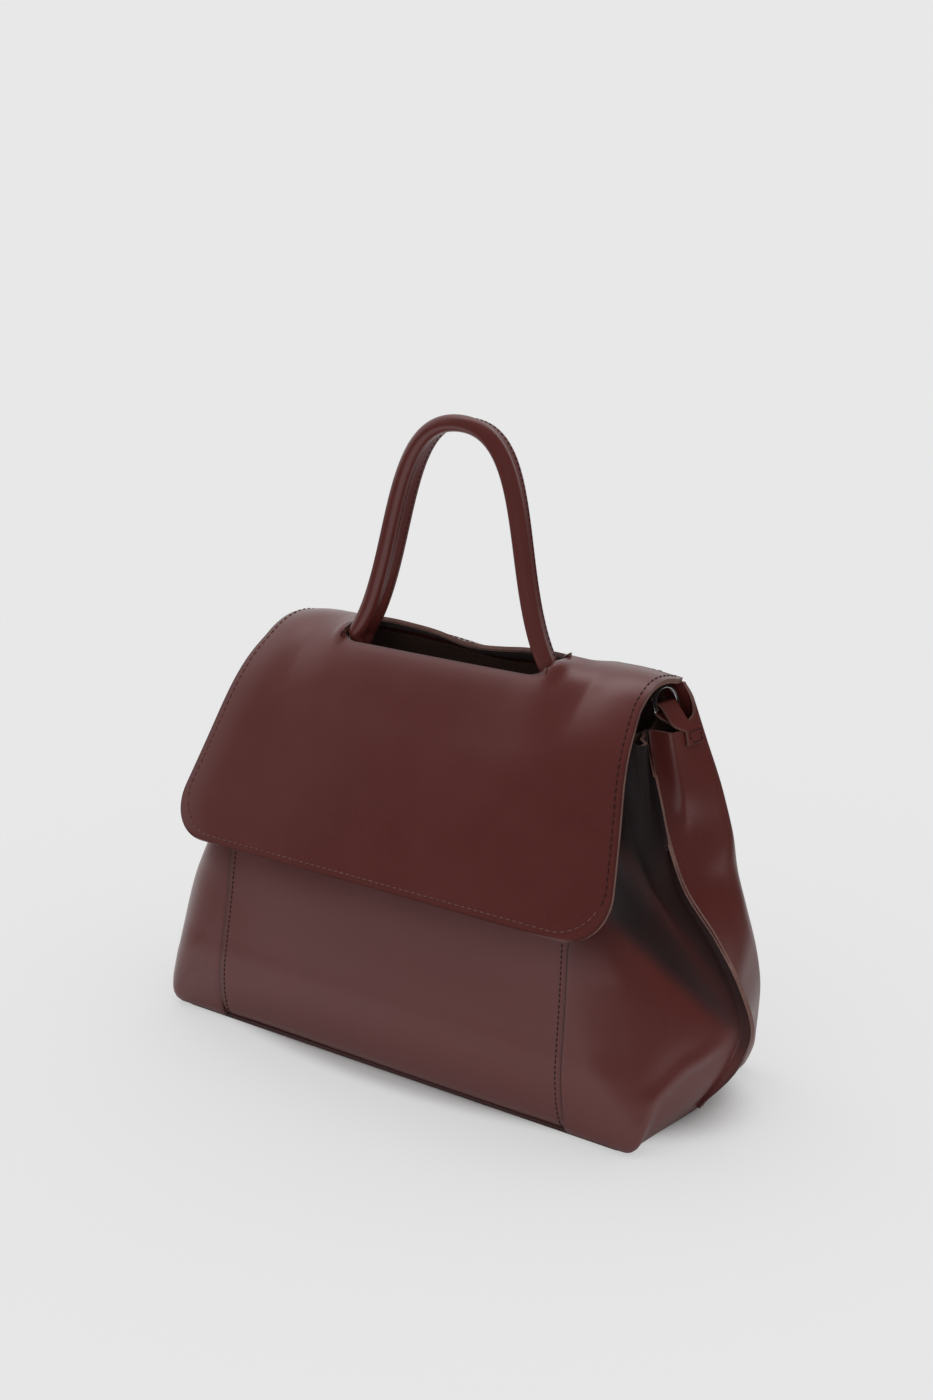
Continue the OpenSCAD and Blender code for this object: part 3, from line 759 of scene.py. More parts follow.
def lining_piece(back):
    """One half of the lining, from side seam to side seam, moved in along the normals."""
    side = side_grid(back, lining_low, lining_drop)
    face = face_grid(back, lining_low, lining_drop, cols=40)
    grid = np.concatenate([flipped(side), face[:, 1:], side[:, 1:]], 1)
    out = outward(grid, back)
    side_lift = np.minimum(side_soft(side, back), 0) * step(1 - side_shares, 0.04, 0.2)
    face_lift = np.minimum(face_soft(face, back), 0)
    lift = np.concatenate([side_lift[:, ::-1], face_lift[:, 1:], side_lift[:, 1:]], 1)
    grid = grid + out * (lift - lining_depth)[..., None]
    limit = tip_x(grid[..., 2]) + seam_fold(grid[..., 2], np.ones(grid.shape[:2]), back)[..., 0] - 3.5 * MM
    grid[..., 0] = np.clip(grid[..., 0], -limit, limit)
    name = "back_lining" if back else "front_lining"
    faces = grid_faces(*grid.shape[:2])
    piece = make_mesh(name + "_suede", grid, faces[:, ::-1] if back else faces, "bag")
    thicken(piece, lining_t)
    dress(piece, "lining", lining, lining)
    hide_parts(name)


lining_piece(False)
lining_piece(True)

level, across = np.meshgrid(np.linspace(0, 1, 30), np.linspace(-1, 1, 40), indexing="ij")
pocket_z = (pocket_low + pocket_h * level) * MM
pocket_depth = lining_depth + lining_t + move_gap + pocket_t
pocket_y = face_y(pocket_z, True) - pocket_depth - 1.0 * MM * step(level, 0.75, 1) * (1 - across**2)
pocket_grid = np.stack([pocket_w / 2 * MM * across, pocket_y, pocket_z], -1)
pocket = make_mesh("pocket_suede", pocket_grid, grid_faces(*pocket_grid.shape[:2]), "bag")
thicken(pocket, pocket_t, -1, 0.3 * MM)
dress(pocket, "lining", lining, leather_edge)
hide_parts("inner_pocket")
print("linings and pocket done")

# %% [markdown]
# ## Flap
# The flap is one sheet of leather with a lining under it. Its profile rises from the back seam over
# the crest and hangs down in front. The surface is worked out on a flat pattern: x runs across and s
# runs along the profile, as if the leather were laid out on a table. The slot is left out of the
# pattern, and its edges are moved a little, because the real ones curl round the handle's feet.

# %% Flap profile
crest_z = body_h + 8 * MM
crest_y = 13 * MM
flap_low = np.array([-81, 120]) * MM
flap_top_w = 271 * MM
flap_low_w = 319 * MM
flap_r = 31 * MM
slot_w = 149 * MM
slot_d = 26 * MM
slot_r = 12.5 * MM
slot_half = slot_w / 2
flap_t = leather_t + lining_t

hinge = np.array([face_y(body_h, True) + leather_t, body_h + move_gap])
crest = np.array([crest_y, crest_z])
behind = np.array([(crest_y + hinge[0]) / 2, crest_z])
ahead = np.array([-1.4 * crest_y, crest_z])
slope = mix(ahead, flap_low, 0.43)
fine = np.linspace(0, 1, 300)[:, None]
inner_profile = np.concatenate([
    bend(hinge, behind, crest, fine), bend(crest, ahead, slope, fine)[1:], mix(slope, flap_low, fine)[1:]])
profile_way = unit(np.gradient(inner_profile, axis=0))
profile_out = np.stack([profile_way[:, 1], -profile_way[:, 0]], -1)
outer_profile = inner_profile + flap_t * profile_out
profile_run = path_run(outer_profile)
flap_length = profile_run[-1]
s_slot_back = np.interp(-slot_d / 2, -outer_profile[:, 0], profile_run)
s_slot_front = np.interp(slot_d / 2, -outer_profile[:, 0], profile_run)
print("flap length mm:", round(flap_length / MM, 1), "slot from", round(s_slot_back / MM, 1),
      "to", round(s_slot_front / MM, 1))


def profile_at(s, depth=0.0):
    """Place on the profile at run s, moved inwards by depth, and the direction out: y, z, y, z."""
    y, z = np.moveaxis(read_along(s, profile_run, outer_profile), -1, 0)
    out_y, out_z = np.moveaxis(read_along(s, profile_run, profile_out), -1, 0)
    return y - depth * out_y, z - depth * out_z, out_y, out_z


# %% Outline and soft forms of the flap
back_rise = [(-90, 0), (-77, 2), (-62, 3.2), (-40, 2.6), (-20, 0.8), (-5, -2.2), (10, -2.6), (25, -1.3),
             (40, 0.6), (60, 1.4), (77, 1), (90, 0)]
front_rise = [(-100, 0), (-77, 3), (-60, 3.6), (-20, 3.7), (20, 3.9), (55, 4.2), (77, 4.5), (100, 0)]
CREST_TAPER = 3 * MM
BACK_CORNER_L = 14 * MM
BACK_CORNER_W = 6 * MM
STRIP_DIP = 3.2 * MM
LIP_HEIGHT = 3.4 * MM
LIP_WIDTH = 5 * MM
EDGE_TURN_BACK, EDGE_TURN_FRONT = 3.4 * MM, 1.8 * MM
EDGE_TURN_REACH = 26 * MM
BOW_HEIGHT = 0.8 * MM
SHOULDER_HEIGHT = 3.0 * MM
SHOULDER_X, SHOULDER_S = 96 * MM, 42 * MM


def half_width(s):
    """Half the flap's width: straight sides that widen downwards, a rounded lower corner, and a
    slight taper over the crest that ends in a rounded corner at the back seam."""
    z = profile_at(s)[1]
    side = mix(flap_top_w, flap_low_w, np.clip((body_h - z) / (body_h - flap_low[1]), 0, 1)) / 2
    up = np.clip((flap_length - s) / flap_r, 0, 1)
    behind = 1 - np.clip(s / BACK_CORNER_L, 0, 1)
    taper = CREST_TAPER * step(-s, -s_slot_front - 25 * MM, -s_slot_back)
    taper = taper + BACK_CORNER_W * (1 - np.sqrt(1 - behind**2))
    return side - taper - flap_r * (1 - np.sqrt(1 - (1 - up) ** 2))


def flap_rise(x, s):
    """How far the leather stands off its plain profile: raised at the slot's edges, a wave and a dip
    in the strip behind it, small lips beside the handle's feet, a slight turn down at both sides, a
    soft bow lower down and a raised shoulder to the right of the slot."""
    front = smooth_table(front_rise, x / MM) * step(-s, -s_slot_front - 42 * MM, -s_slot_front) * MM
    along = np.clip(s / s_slot_back, 0, 1)
    dip = STRIP_DIP * 4 * along * (1 - along) * step(-np.abs(x), -slot_half - 20 * MM, -slot_half)
    rear = mix(-back_sag(x), smooth_table(back_rise, x / MM) * MM, along) - dip
    rise = mix(rear, front, step(s, s_slot_back, s_slot_front))
    lip = LIP_HEIGHT * hump(np.abs(x), slot_half + 1 * MM, LIP_WIDTH)
    lip = lip * hump(s, s_slot_front - 8 * MM, 8 * MM)
    turn_depth = mix(EDGE_TURN_BACK, EDGE_TURN_FRONT, step(s, s_slot_front, s_slot_front + 40 * MM))
    inwards = half_width(s) - np.abs(x)
    edge_turn = -turn_depth * step(s, -4 * MM, 14 * MM) * np.clip(1 - inwards / EDGE_TURN_REACH, 0, 1) ** 2
    bow = BOW_HEIGHT * np.sin(x / (52 * MM) + 0.9) * hump(s, flap_length * 0.75, 45 * MM)
    shoulder = SHOULDER_HEIGHT * hump(x, SHOULDER_X, 46 * MM) * hump(s, s_slot_front + SHOULDER_S, 28 * MM)
    return rise + lip + edge_turn + bow + shoulder


def flap_point(x, s, depth=0.0):
    """Point of the flap's outer surface, or of one moved inwards by depth, and its direction out."""
    y, z, out_y, out_z = profile_at(s, depth)
    rise = flap_rise(x, s)
    out = np.stack([np.zeros_like(x), out_y, out_z], -1)
    return np.stack([x, y, z], -1) + out * rise[..., None], out


def round_slot(x, s):
    """Moves the pattern at the slot's four corners, so that the square hole gets round corners."""
    middle = (s_slot_back + s_slot_front) / 2
    half = np.array([slot_half, (s_slot_front - s_slot_back) / 2])
    p = np.stack([np.abs(x), np.abs(s - middle)], -1)
    nearest = np.minimum(p, half)
    centre = half - slot_r
    toward = np.maximum(nearest - centre, 0)
    on_corner = (toward.min(-1) > 0) & ((p >= half - 1e-9).any(-1))
    target = centre + slot_r * unit(toward)
    fade = np.clip(1 - np.linalg.norm(p - nearest, axis=-1) / (5 * MM), 0, 1)
    shift = np.where(on_corner[..., None], (target - nearest) * fade[..., None], 0)
    return x + np.sign(x) * shift[..., 0], s + np.sign(s - middle) * shift[..., 1]


# %% Flap pattern with its slot


def joined(*parts):
    """Runs of equal steps put end to end: (start, end, count) each, without doubled ends."""
    runs = [np.linspace(a, b, n, endpoint=False) for a, b, n in parts]
    return np.concatenate(runs + [[parts[-1][1]]])


slot_share = slot_w / flap_top_w
# Columns and rows lie closer together near the slot's edge: inside it and outside it, as shares of
# the half width, and along the profile
IN_X, OUT_X = 0.525, 0.62
IN_S, OUT_S = 6 * MM, 5 * MM
flap_columns = joined(
    (-1, -OUT_X, 26), (-OUT_X, -slot_share, 5), (-slot_share, -IN_X, 5), (-IN_X, IN_X, 56),
    (IN_X, slot_share, 5), (slot_share, OUT_X, 5), (OUT_X, 1, 26))
corner_turn = np.linspace(math.pi / 2, 0, 16)
flap_rows = np.concatenate([
    joined((0.0, s_slot_back - OUT_S, 8), (s_slot_back - OUT_S, s_slot_back, 4),
           (s_slot_back, s_slot_back + IN_S, 5), (s_slot_back + IN_S, s_slot_front - IN_S, 6),
           (s_slot_front - IN_S, s_slot_front, 5), (s_slot_front, s_slot_front + OUT_S, 4),
           (s_slot_front + OUT_S, flap_length - flap_r, 44)),
    flap_length - flap_r * (1 - np.cos(corner_turn[1:]))])


def outline_distance(x, s):
    """Distance on the pattern from the flap's outline, or from the slot's, whichever is nearer."""
    line = np.linspace(0, flap_length, 500)
    side = np.stack([half_width(line), line], -1)
    across = np.linspace(-1, 1, 200) * half_width(np.array(flap_length))
    low = np.stack([across, np.full_like(across, flap_length)], -1)
    outline = np.concatenate([side, side * [-1, 1], low])
    parts = np.array_split(np.stack([x, s], -1).reshape(-1, 1, 2), 40)
    nearest = np.concatenate([np.linalg.norm(part - outline, axis=-1).min(1) for part in parts])
    middle = (s_slot_back + s_slot_front) / 2
    past = np.stack([np.abs(x) - slot_half, np.abs(s - middle) - (s_slot_front - s_slot_back) / 2], -1)
    slot_gap = np.linalg.norm(np.maximum(past, 0), axis=-1)
    return np.minimum(nearest.reshape(x.shape), slot_gap)


def flap_sheet(name, depth, trim):
    """The pattern as a mesh, without the faces of the slot, moved in by depth. Trim draws it in."""
    s, t = np.meshgrid(flap_rows, flap_columns, indexing="ij")
    x = t * (half_width(s) - trim * step(np.abs(t), 0.9, 1.0))
    distance = outline_distance(x, s)
    x, s = round_slot(x, s)
    points = flap_point(x, s - trim * step(s, flap_length - 4 * MM, flap_length), depth)[0]
    faces = grid_faces(*points.shape[:2])[:, ::-1]
    mid_s = (flap_rows[:-1] + flap_rows[1:])[:, None] / 2
    mid_t = (flap_columns[:-1] + flap_columns[1:])[None, :] / 2
    in_slot = (mid_s > s_slot_back) & (mid_s < s_slot_front) & (np.abs(mid_t) < slot_share)
    faces = faces[~in_slot.ravel()]
    used = np.unique(faces)
    renumber = np.zeros(points.shape[0] * points.shape[1], int)
    renumber[used] = np.arange(len(used))
    return make_mesh(name, points.reshape(-1, 3)[used], renumber[faces], "flap", distance.ravel()[used])


flap_skin = flap_sheet("flap_skin", 0.0, 0.0)
thicken(flap_skin, leather_t, -1, 0.4 * MM)
dress(flap_skin, "leather", leather, leather_edge)
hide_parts("flap_leather")
flap_backing = flap_sheet("flap_backing", leather_t, 0.4 * MM)
thicken(flap_backing, lining_t, -1, 0.2 * MM)
dress(flap_backing, "lining", lining, leather_edge)
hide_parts("flap_lining")
print("flap:", len(flap_skin.data.polygons), "faces")

# %% [markdown]
# ## Handle
# The handle is a strip of leather rolled over a cord: a round bead in front and a flat edge behind it
# where the two halves are sewn together. One cross-section is carried along the arch. The feet are
# rounded from front to back, because they turn in the slot. Two short tongues hold it under the flap.
# A soft handle never stands quite straight: this one leans back a little, and its legs are twisted so
# that the flat edge points inwards.

# %% Handle section and path
handle_w = 138 * MM
handle_h = 130 * MM
handle_d = 18 * MM
foot_lean_share = 0.56
foot_rise_share = 0.33
shoulder_share = 0.76
bead_r = 4.9 * MM
flange_r = 2.2 * MM
core_r = 2.5 * MM
handle_y = -3 * MM
foot_z = crest_z - move_gap
bead_y = -handle_d / 2 + bead_r
# Half the outline of the flat edge: across the strap and from front to back
FLANGE = np.array([[2.25, 4.5], [2.25, 7.0], [2.2, 8.2], [1.9, 8.75], [1.2, 9.0]]) * MM
FOOT_ANGLES = np.radians([25, 40, 55, 70, 80])


def handle_section():
    """Closed section, two numbers a point: across the strap, and from front to back. A round bead,
    a hollow neck and a flat edge with rounded corners."""
    angle = np.linspace(0, math.radians(125), 13)
    bead = np.stack([bead_r * np.sin(angle), bead_y - bead_r * np.cos(angle)], -1)
    neck_end = np.array([flange_r, 2.0 * MM])
    neck = bend(bead[-1], np.array([2.5, -0.2]) * MM, neck_end, np.linspace(0, 1, 7)[1:, None])
    half = np.concatenate([bead, neck, FLANGE])
    return np.concatenate([half, half[:0:-1] * [-1, 1]])


def arch_point(share):
    """Cubic curve from one foot to the top, mirrored for the other half. Share runs from 0 to 1."""
    share = np.asarray(share, float)[..., None]
    t = 1 - np.abs(2 * share - 1)
    foot = np.array([handle_w / 2, 0])
    low = np.array([handle_w / 2 * foot_lean_share, handle_h * foot_rise_share])
    high = np.array([handle_w / 2 * shoulder_share, handle_h])
    top = np.array([0, handle_h])
    p = (1 - t) ** 3 * foot + 3 * (1 - t) ** 2 * t * low + 3 * (1 - t) * t**2 * high + t**3 * top
    side = np.where(share < 0.5, -1.0, 1.0)
    return p * np.concatenate([side, np.ones_like(side)], -1)


# Twist of the strap in degrees along the arch, from the left foot to the right one
HANDLE_TWIST = [(0, 15), (0.25, 14), (0.5, 3), (0.75, 11), (1, 13)]
LEAN_BACK = 8 * MM
LEAN_RIGHT = 3 * MM
# The lean grows with height by this share, and the legs have another share of it from the start
LEAN_SLOPE, LEAN_LEG = 0.8, 0.33
# The feet have less of it. They pass into the legs between two shares of the height
LEAN_FOOT = 0.4
LEAN_START = (0.03, 0.25)
LEG_SWAY = 0.4


def handle_frame(share):
    """The bead's middle along the arch, and the directions across the strap and to its back edge."""
    arch = arch_point(share)
    way = unit(arch_point(np.minimum(share + 1e-4, 1)) - arch_point(np.maximum(share - 1e-4, 0)))
    flat = np.stack([way[:, 1], np.zeros(len(share)), -way[:, 0]], -1)
    turn = np.radians(smooth_table(HANDLE_TWIST, share))[:, None]
    straight_back = np.array([0.0, 1.0, 0.0])
    across = flat * np.cos(turn) - straight_back * np.sin(turn)
    deep = straight_back * np.cos(turn) + flat * np.sin(turn)
    high = arch[:, 1] / handle_h
    free = step(high, *LEAN_START)
    lean = LEAN_BACK * (LEAN_SLOPE * high + LEAN_LEG * mix(LEAN_FOOT, 1.0, free))
    sway = LEAN_RIGHT * (high - LEG_SWAY * free)
    middle = np.stack([arch[:, 0] + sway, handle_y + bead_y + lean, foot_z + arch[:, 1]], -1)
    return middle, across, deep


def handle_rings(section, count, feet):
    """Rings of the sweep: each carries the section square to the arch. With feet, more rings go down
    on a quarter circle at each end, drawn in from front and back."""
    middle, across, deep = handle_frame(np.linspace(0, 1, count))
    rings = (middle[:, None] + section[None, :, 0:1] * across[:, None]
             + (section[None, :, 1:2] - bead_y) * deep[:, None])
    if not feet:
        return rings
    ends = []
    for end in (0, -1):
        strap = middle[end] - bead_y * deep[end]
        level = unit(across[end] * [1, 1, 0])
        foot = [strap - [0, 0, handle_d / 2 * math.sin(a)] + section[:, 0:1] * level
                + section[:, 1:2] * math.cos(a) * deep[end] * [1, 1, 0] for a in FOOT_ANGLES]
        ends.append(np.array(foot))
    return np.concatenate([ends[0][::-1], rings, ends[1]])


rings = handle_rings(handle_section(), 150, True)
handle = make_mesh("handle_strap", rings, capped_tube(rings), "handle")
dress(handle, "leather", leather, leather_edge)
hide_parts("handle_leather")
circle = np.linspace(0, 2 * math.pi, 17)[:-1]
core_section = np.stack([-core_r * np.cos(circle), bead_y - core_r * np.sin(circle)], -1)
core = handle_rings(core_section, 80, False)
cord = make_mesh("handle_cord", core, capped_tube(core), "handle")
dress(cord, "board", board)
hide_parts("handle_core")
print("handle:", rings.shape)

# %% Tongues under the flap
tongue_t = 2.5 * MM
tongue_in = handle_w / 2 + bead_r + move_gap
tongue_out = tongue_in + 25 * MM
for side_name, sign in (("left", -1), ("right", 1)):
    run, across = np.meshgrid(np.linspace(s_slot_back - 2 * MM, s_slot_front + 3 * MM, 24),
                              np.linspace(tongue_in, tongue_out, 16)[::sign], indexing="ij")
    points = flap_point(sign * across, run, flap_t + 0.1 * MM)[0]
    faces = grid_faces(*points.shape[:2])[:, ::-1]
    tongue = make_mesh("tongue_" + side_name, points, faces, "flap")
    thicken(tongue, tongue_t, -1, 0.4 * MM)
    dress(tongue, "leather", leather, leather_edge)
    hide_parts("handle_tongue_" + side_name)
print("tongues: 2")

# %% [markdown]
# ## Ring tabs and rings
# A narrow band of leather is folded over each side's top edge and sewn through, and holds the bar of
# a D-ring in its loop. The band is a flat path of two legs and a half circle, given its width, then
# leaned and turned to lie on the side panel. The rings keep their shape and only get their metal.

# %% Tabs
tab_w = 13 * MM
tab_l = 22 * MM
tab_t = 1.8 * MM
tab_y = 24 * MM
bar_rise = 13 * MM
bar_in = 9.5 * MM
bar_r = 1.4 * MM
loop_r = bar_r + 2 * move_gap
tab_in = lining_depth + lining_t + move_gap


def side_face_x(z, y):
    """Where the flat part of the back side panel lies at height z and depth y."""
    return mix(tip_x(z), corner_x(z, True), y / face_y(z, True))


tab_lean = math.atan((side_face_x(side_h - tab_l, tab_y) - side_face_x(side_h, tab_y)) / tab_l)
tab_turn = math.atan((corner_x(side_h, True) - tip_x(side_h)) / face_y(side_h, True))
leg_y = tab_y - (bar_in * math.cos(tab_lean) + bar_rise * math.sin(tab_lean)) * math.sin(tab_turn)
# The soft strap runs aslant: its sewn legs lie further back than the bar that it holds
TAB_SLANT = 8 * MM
STRAP_L = 9 * MM
# The strap bends over low enough for its ring to lie down on it
STRAP_RISE = 1 * MM
STRAP_BEND = 2 * MM
LEG_POINTS = 12
LOOP_POINTS = 18


def at_tab(points, sign):
    """Leans local points about Y, turns them about Z, moves them to the tab and mirrors them."""
    x, y, z = points[..., 0], points[..., 1], points[..., 2]
    lean_x = x * math.cos(tab_lean) - z * math.sin(tab_lean)
    lean_z = x * math.sin(tab_lean) + z * math.cos(tab_lean)
    turned = np.stack([lean_x * math.cos(tab_turn) + y * math.sin(tab_turn),
                       y * math.cos(tab_turn) - lean_x * math.sin(tab_turn), lean_z], -1)
    return (turned + [side_face_x(side_h, leg_y), leg_y, side_h]) * [sign, 1, 1]


def tab_path():
    """The band from its edge, in x and z: up outside, over to the bar, round it and down inside. It
    meets the loop's circle where a line from each leg is tangent to it. Also how far each point
    follows the slant, from 0 on the loop to 1 on the legs."""
    band_r = loop_r + tab_t / 2
    bar = np.array([-bar_in, bar_rise])
    outer = np.array([move_gap + tab_t / 2, STRAP_RISE])
    inner = np.array([-tab_in - tab_t / 2, 0.0])
    touch = []
    for side, start in ((1, outer), (-1, inner)):
        away = start - bar
        touch.append(math.atan2(away[1], away[0]) + side * math.acos(band_r / np.linalg.norm(away)))
    loop = np.linspace(touch[0], touch[1] % (2 * math.pi), LOOP_POINTS)
    circle = bar + band_r * np.stack([np.cos(loop), np.sin(loop)], -1)
    up = np.linspace(-STRAP_L, STRAP_RISE - STRAP_BEND, LEG_POINTS + 1)[:-1]
    down = np.linspace(0, -STRAP_L, LEG_POINTS + 1)[1:]
    outside = np.stack([np.full(LEG_POINTS, outer[0]), up], -1)
    inside = np.stack([np.full(LEG_POINTS, inner[0]), down], -1)
    t = np.linspace(0, 1, LEG_POINTS)
    over = bend(outer - [0, STRAP_BEND], outer, circle[0], t[:-1, None])
    back = mix(circle[-1], inner, t[1:-1, None])
    leg = np.ones(LEG_POINTS)
    slant = np.concatenate([leg, 1 - step(t[:-1], 0, 0.6), np.zeros(LOOP_POINTS), step(t[1:-1], 0, 1), leg])
    return np.concatenate([outside, over, circle, back, inside]), slant


band, slant = tab_path()
for side_name, sign in (("left", -1), ("right", 1)):
    across = np.linspace(-tab_w / 2, tab_w / 2, 9) + TAB_SLANT * slant[:, None]
    x, y, z = np.broadcast_arrays(band[:, 0:1], across, band[:, 1:2])
    points = at_tab(np.stack([x, y, z], -1), sign)
    faces = grid_faces(*points.shape[:2])
    tab = make_mesh("tab_" + side_name, points, faces if sign > 0 else faces[:, ::-1], "bag")
    thicken(tab, tab_t, 0, 0.35 * MM)
    dress(tab, "leather", leather, leather_edge)
    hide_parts("ring_tab_" + side_name)
    for material_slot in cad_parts["d_ring_" + side_name].material_slots:
        material_slot.material = metal
print("tab lean and turn:", round(math.degrees(tab_lean), 2), round(math.degrees(tab_turn), 2))

# %% [markdown]
# ## Stitches
# Stitches are what makes leather work look real, and there are hundreds. Each is a small spindle of
# five rings of six points, half sunk in the leather, and all stitches of a row are one mesh. A row
# follows a line on a surface, so it needs each point's place and the surface's direction there.

# %% Stitch rows
# Rings of the spindle: place along it and radius, both as shares
stitch_rings = np.array([(-1, 0.35), (-0.75, 0.85), (0, 1), (0.75, 0.85), (1, 0.35)])
STITCH_CORNERS = 6


def stitch_row(name, line, out, body, pitch, thread, length=0.68, width=0.42 * MM, lift=0.12 * MM):
    """Stitches at equal steps along a line of points with its outward directions. Length is a share
    of the pitch. All spindles are worked out at once as an array (stitch, ring, corner)."""
    run = path_run(line)
    count = int(run[-1] // pitch)
    at = (np.arange(count) + 0.5) * pitch + (run[-1] - count * pitch) / 2
    centre = read_along(at, run, line)
    ahead = read_along(at + pitch / 4, run, line)
    up = unit(read_along(at, run, out))
    along = unit(ahead - centre)
    side = np.cross(up, along)
    turn = np.linspace(0, 2 * math.pi, STITCH_CORNERS + 1)[:-1]
    reach = stitch_rings[:, 0, None] * pitch * length / 2
    radius = stitch_rings[:, 1, None] * width
    reach, wide, high = np.broadcast_arrays(reach, radius * np.cos(turn), radius * np.sin(turn))
    centre, along, side, up = (v[:, None, None] for v in (centre, along, side, up))
    points = (centre + lift * up + reach[..., None] * along + wide[..., None] * side
              + high[..., None] * up)
    one = capped_tube(reach)
    faces = [[v + reach.size * k for v in face] for k in range(count) for face in one]
    piece = make_mesh(name, points, faces, body)
    dress(piece, "leather", thread)
    return count


def row_on_grid(grid, back, inset, first, last):
    """A line on a panel's grid that stays a set distance from its left or right end. A negative
    inset is measured from the right. Rows run from first to last, as shares of the height."""
    run = run_along(grid)
    out = outward(grid, back)
    line, up = [], []
    for row in range(int(first * len(grid)), int(last * len(grid))):
        at = inset if inset > 0 else run[row, -1] + inset
        line.append(read_along(at, run[row], grid[row]))
        up.append(read_along(at, run[row], out[row]))
    return np.array(line), np.array(up)


SEAM_INSET = 3.4 * MM
SEAM_PITCH = 3.1 * MM
total = 0
for back, name in ((False, "front"), (True, "back")):
    for side_name, inset in (("left", SEAM_INSET), ("right", -SEAM_INSET)):
        line, up = row_on_grid(face_grids[back], back, inset, 0.01, 0.97)
        total += stitch_row(f"{name}_seam_stitches_{side_name}", line, up, "bag", SEAM_PITCH, dark_thread)
print("seam stitches:", total)

# %% Stitches on the flap
FLAP_INSET = 3.9 * MM
FLAP_PITCH = 4.3 * MM
BACK_ROW = 4.5 * MM
line_s = np.linspace(5 * MM, flap_length - flap_r, 200)
side_x = half_width(line_s) - FLAP_INSET
turn = np.linspace(0, math.pi / 2, 40)[1:]
low_x = half_width(np.array(flap_length - flap_r)) - flap_r
arc = np.stack([low_x + (flap_r - FLAP_INSET) * np.cos(turn),
                flap_length - flap_r + (flap_r - FLAP_INSET) * np.sin(turn)], -1)
right_half = np.concatenate([np.stack([side_x, line_s], -1), arc, [[0.0, flap_length - FLAP_INSET]]])
split = len(line_s) + 8


def flap_row(name, pattern, thread):
    """A row of stitches along a line on the flap's flat pattern."""
    run = path_run(pattern)
    x, s = read_along(np.linspace(0, run[-1], 800), run, pattern).T
    line, out = flap_point(x, s)
    return stitch_row(name, line, out, "flap", FLAP_PITCH, thread)


sides = right_half[:split]
low = np.concatenate([right_half[split - 1:], right_half[split - 1:-1][::-1] * [-1, 1]])
# One row goes round the flap: its left side and bottom take the lighter thread as painted light, and its
# right side, in shade, the dark one
total = flap_row("flap_stitches_right", sides, dark_thread)
total += flap_row("flap_stitches_left", sides * [-1, 1], painted_light_thread)
total += flap_row("flap_stitches_low", low, painted_light_thread)
across = np.linspace(-1, 1, 60) * (half_width(np.array(0.0)) - 8 * MM)
total += flap_row("flap_stitches_back", np.stack([across, np.full_like(across, BACK_ROW)], -1), dark_thread)
print("flap stitches:", total)

# %% Stitches on the handle, tabs and side seams
HANDLE_ROW = 6.6 * MM
HANDLE_PITCH = 3.2 * MM
TAB_PITCH = 2.6 * MM
BOX_INSET = 2 * MM
BOX_H = 6.5 * MM
BOX_RISE = 4.4 * MM
middle, across, deep = handle_frame(np.linspace(0.015, 0.985, 400))
total = 0
for side_name, sign in (("inner", 1), ("outer", -1)):
    line = middle + (HANDLE_ROW - bead_y) * deep + sign * FLANGE[0, 0] * across
    total += stitch_row("handle_stitches_" + side_name, line, sign * across, "handle", HANDLE_PITCH,
                        dark_thread, width=0.26 * MM)

square = np.array([[-1, -1], [1, -1], [1, 1], [-1, 1], [-1, -1]])
box = square * [tab_w / 2 - BOX_INSET, BOX_H / 2] + [0, BOX_RISE - STRAP_L]
box_line = np.concatenate([mix(a, b, np.linspace(0, 1, 20)[:-1, None]) for a, b in zip(box[:-1], box[1:])])
face_x = move_gap + tab_t
for side_name, sign in (("left", -1), ("right", 1)):
    local = np.stack([np.full(len(box_line), face_x), box_line[:, 0] + TAB_SLANT, box_line[:, 1]], -1)
    line = at_tab(local, sign)
    out = at_tab(local + [1 * MM, 0, 0], sign) - line
    total += stitch_row("tab_stitches_" + side_name, line, out, "bag", TAB_PITCH, dark_thread)
print("handle and tab stitches:", total)

# %% [markdown]
# ## Floor and light
# A pale floor under a bag in a studio: light comes from all sides, so the world does most of the work
# and one very large, weak sun models the soft box above. What glossy surfaces mirror is another
# matter: the backdrop behind is bright and the room on the camera's side is dark, and this gives the
# leather its shape. So the world has one brightness for shading and one that changes with direction
# for reflections. Part of the floor's own brightness is fixed, which keeps its shadow as soft as here.

# %% Floor
BACKDROP = 0.807
PALE = (BACKDROP, BACKDROP, BACKDROP, 1)
FLOOR_HALF = 9
FAR_SHADOW = 0.4
SHADOW_OVAL = (0.175, 0.075)
SHADOW_FADE = (0.95, 1.2)
# What the leather mirrors of the floor: pale beside the bag, dark to the right of it and far in
# front. One pale spot far to the right lights the inside of the handle, and one behind the bag adds
# a little shine. A spot is its place, its inner and outer radius and its strength
MIRROR_AXIS = (0.8, 0.6, 0.0)
MIRROR_SHARES = [(-0.85, 0), (-0.45, 1), (0.10, 1), (0.45, 0.05)]
MIRROR_SPOTS = [((0.92, 0.40, 0), 0.20, 0.38, 1.0), ((0.17, 0.43, 0), 0.06, 0.27, 0.8)]

floor_mesh = bpy.data.meshes.new("floor")
floor_corners = [(x * FLOOR_HALF, y * FLOOR_HALF, 0) for x, y in ((-1, -1), (1, -1), (1, 1), (-1, 1))]
floor_mesh.from_pydata(floor_corners, [], [(0, 1, 2, 3)])
floor = bpy.data.objects.new("floor", floor_mesh)
bpy.context.collection.objects.link(floor)
floor_paint, floor_shader = new_material("floor_paint", Roughness=1.0, Specular_IOR_Level=0.0)
tree = floor_paint.node_tree
place = add_node(tree, "ShaderNodeTexCoord").outputs["Object"]
rays = add_node(tree, "ShaderNodeLightPath").outputs
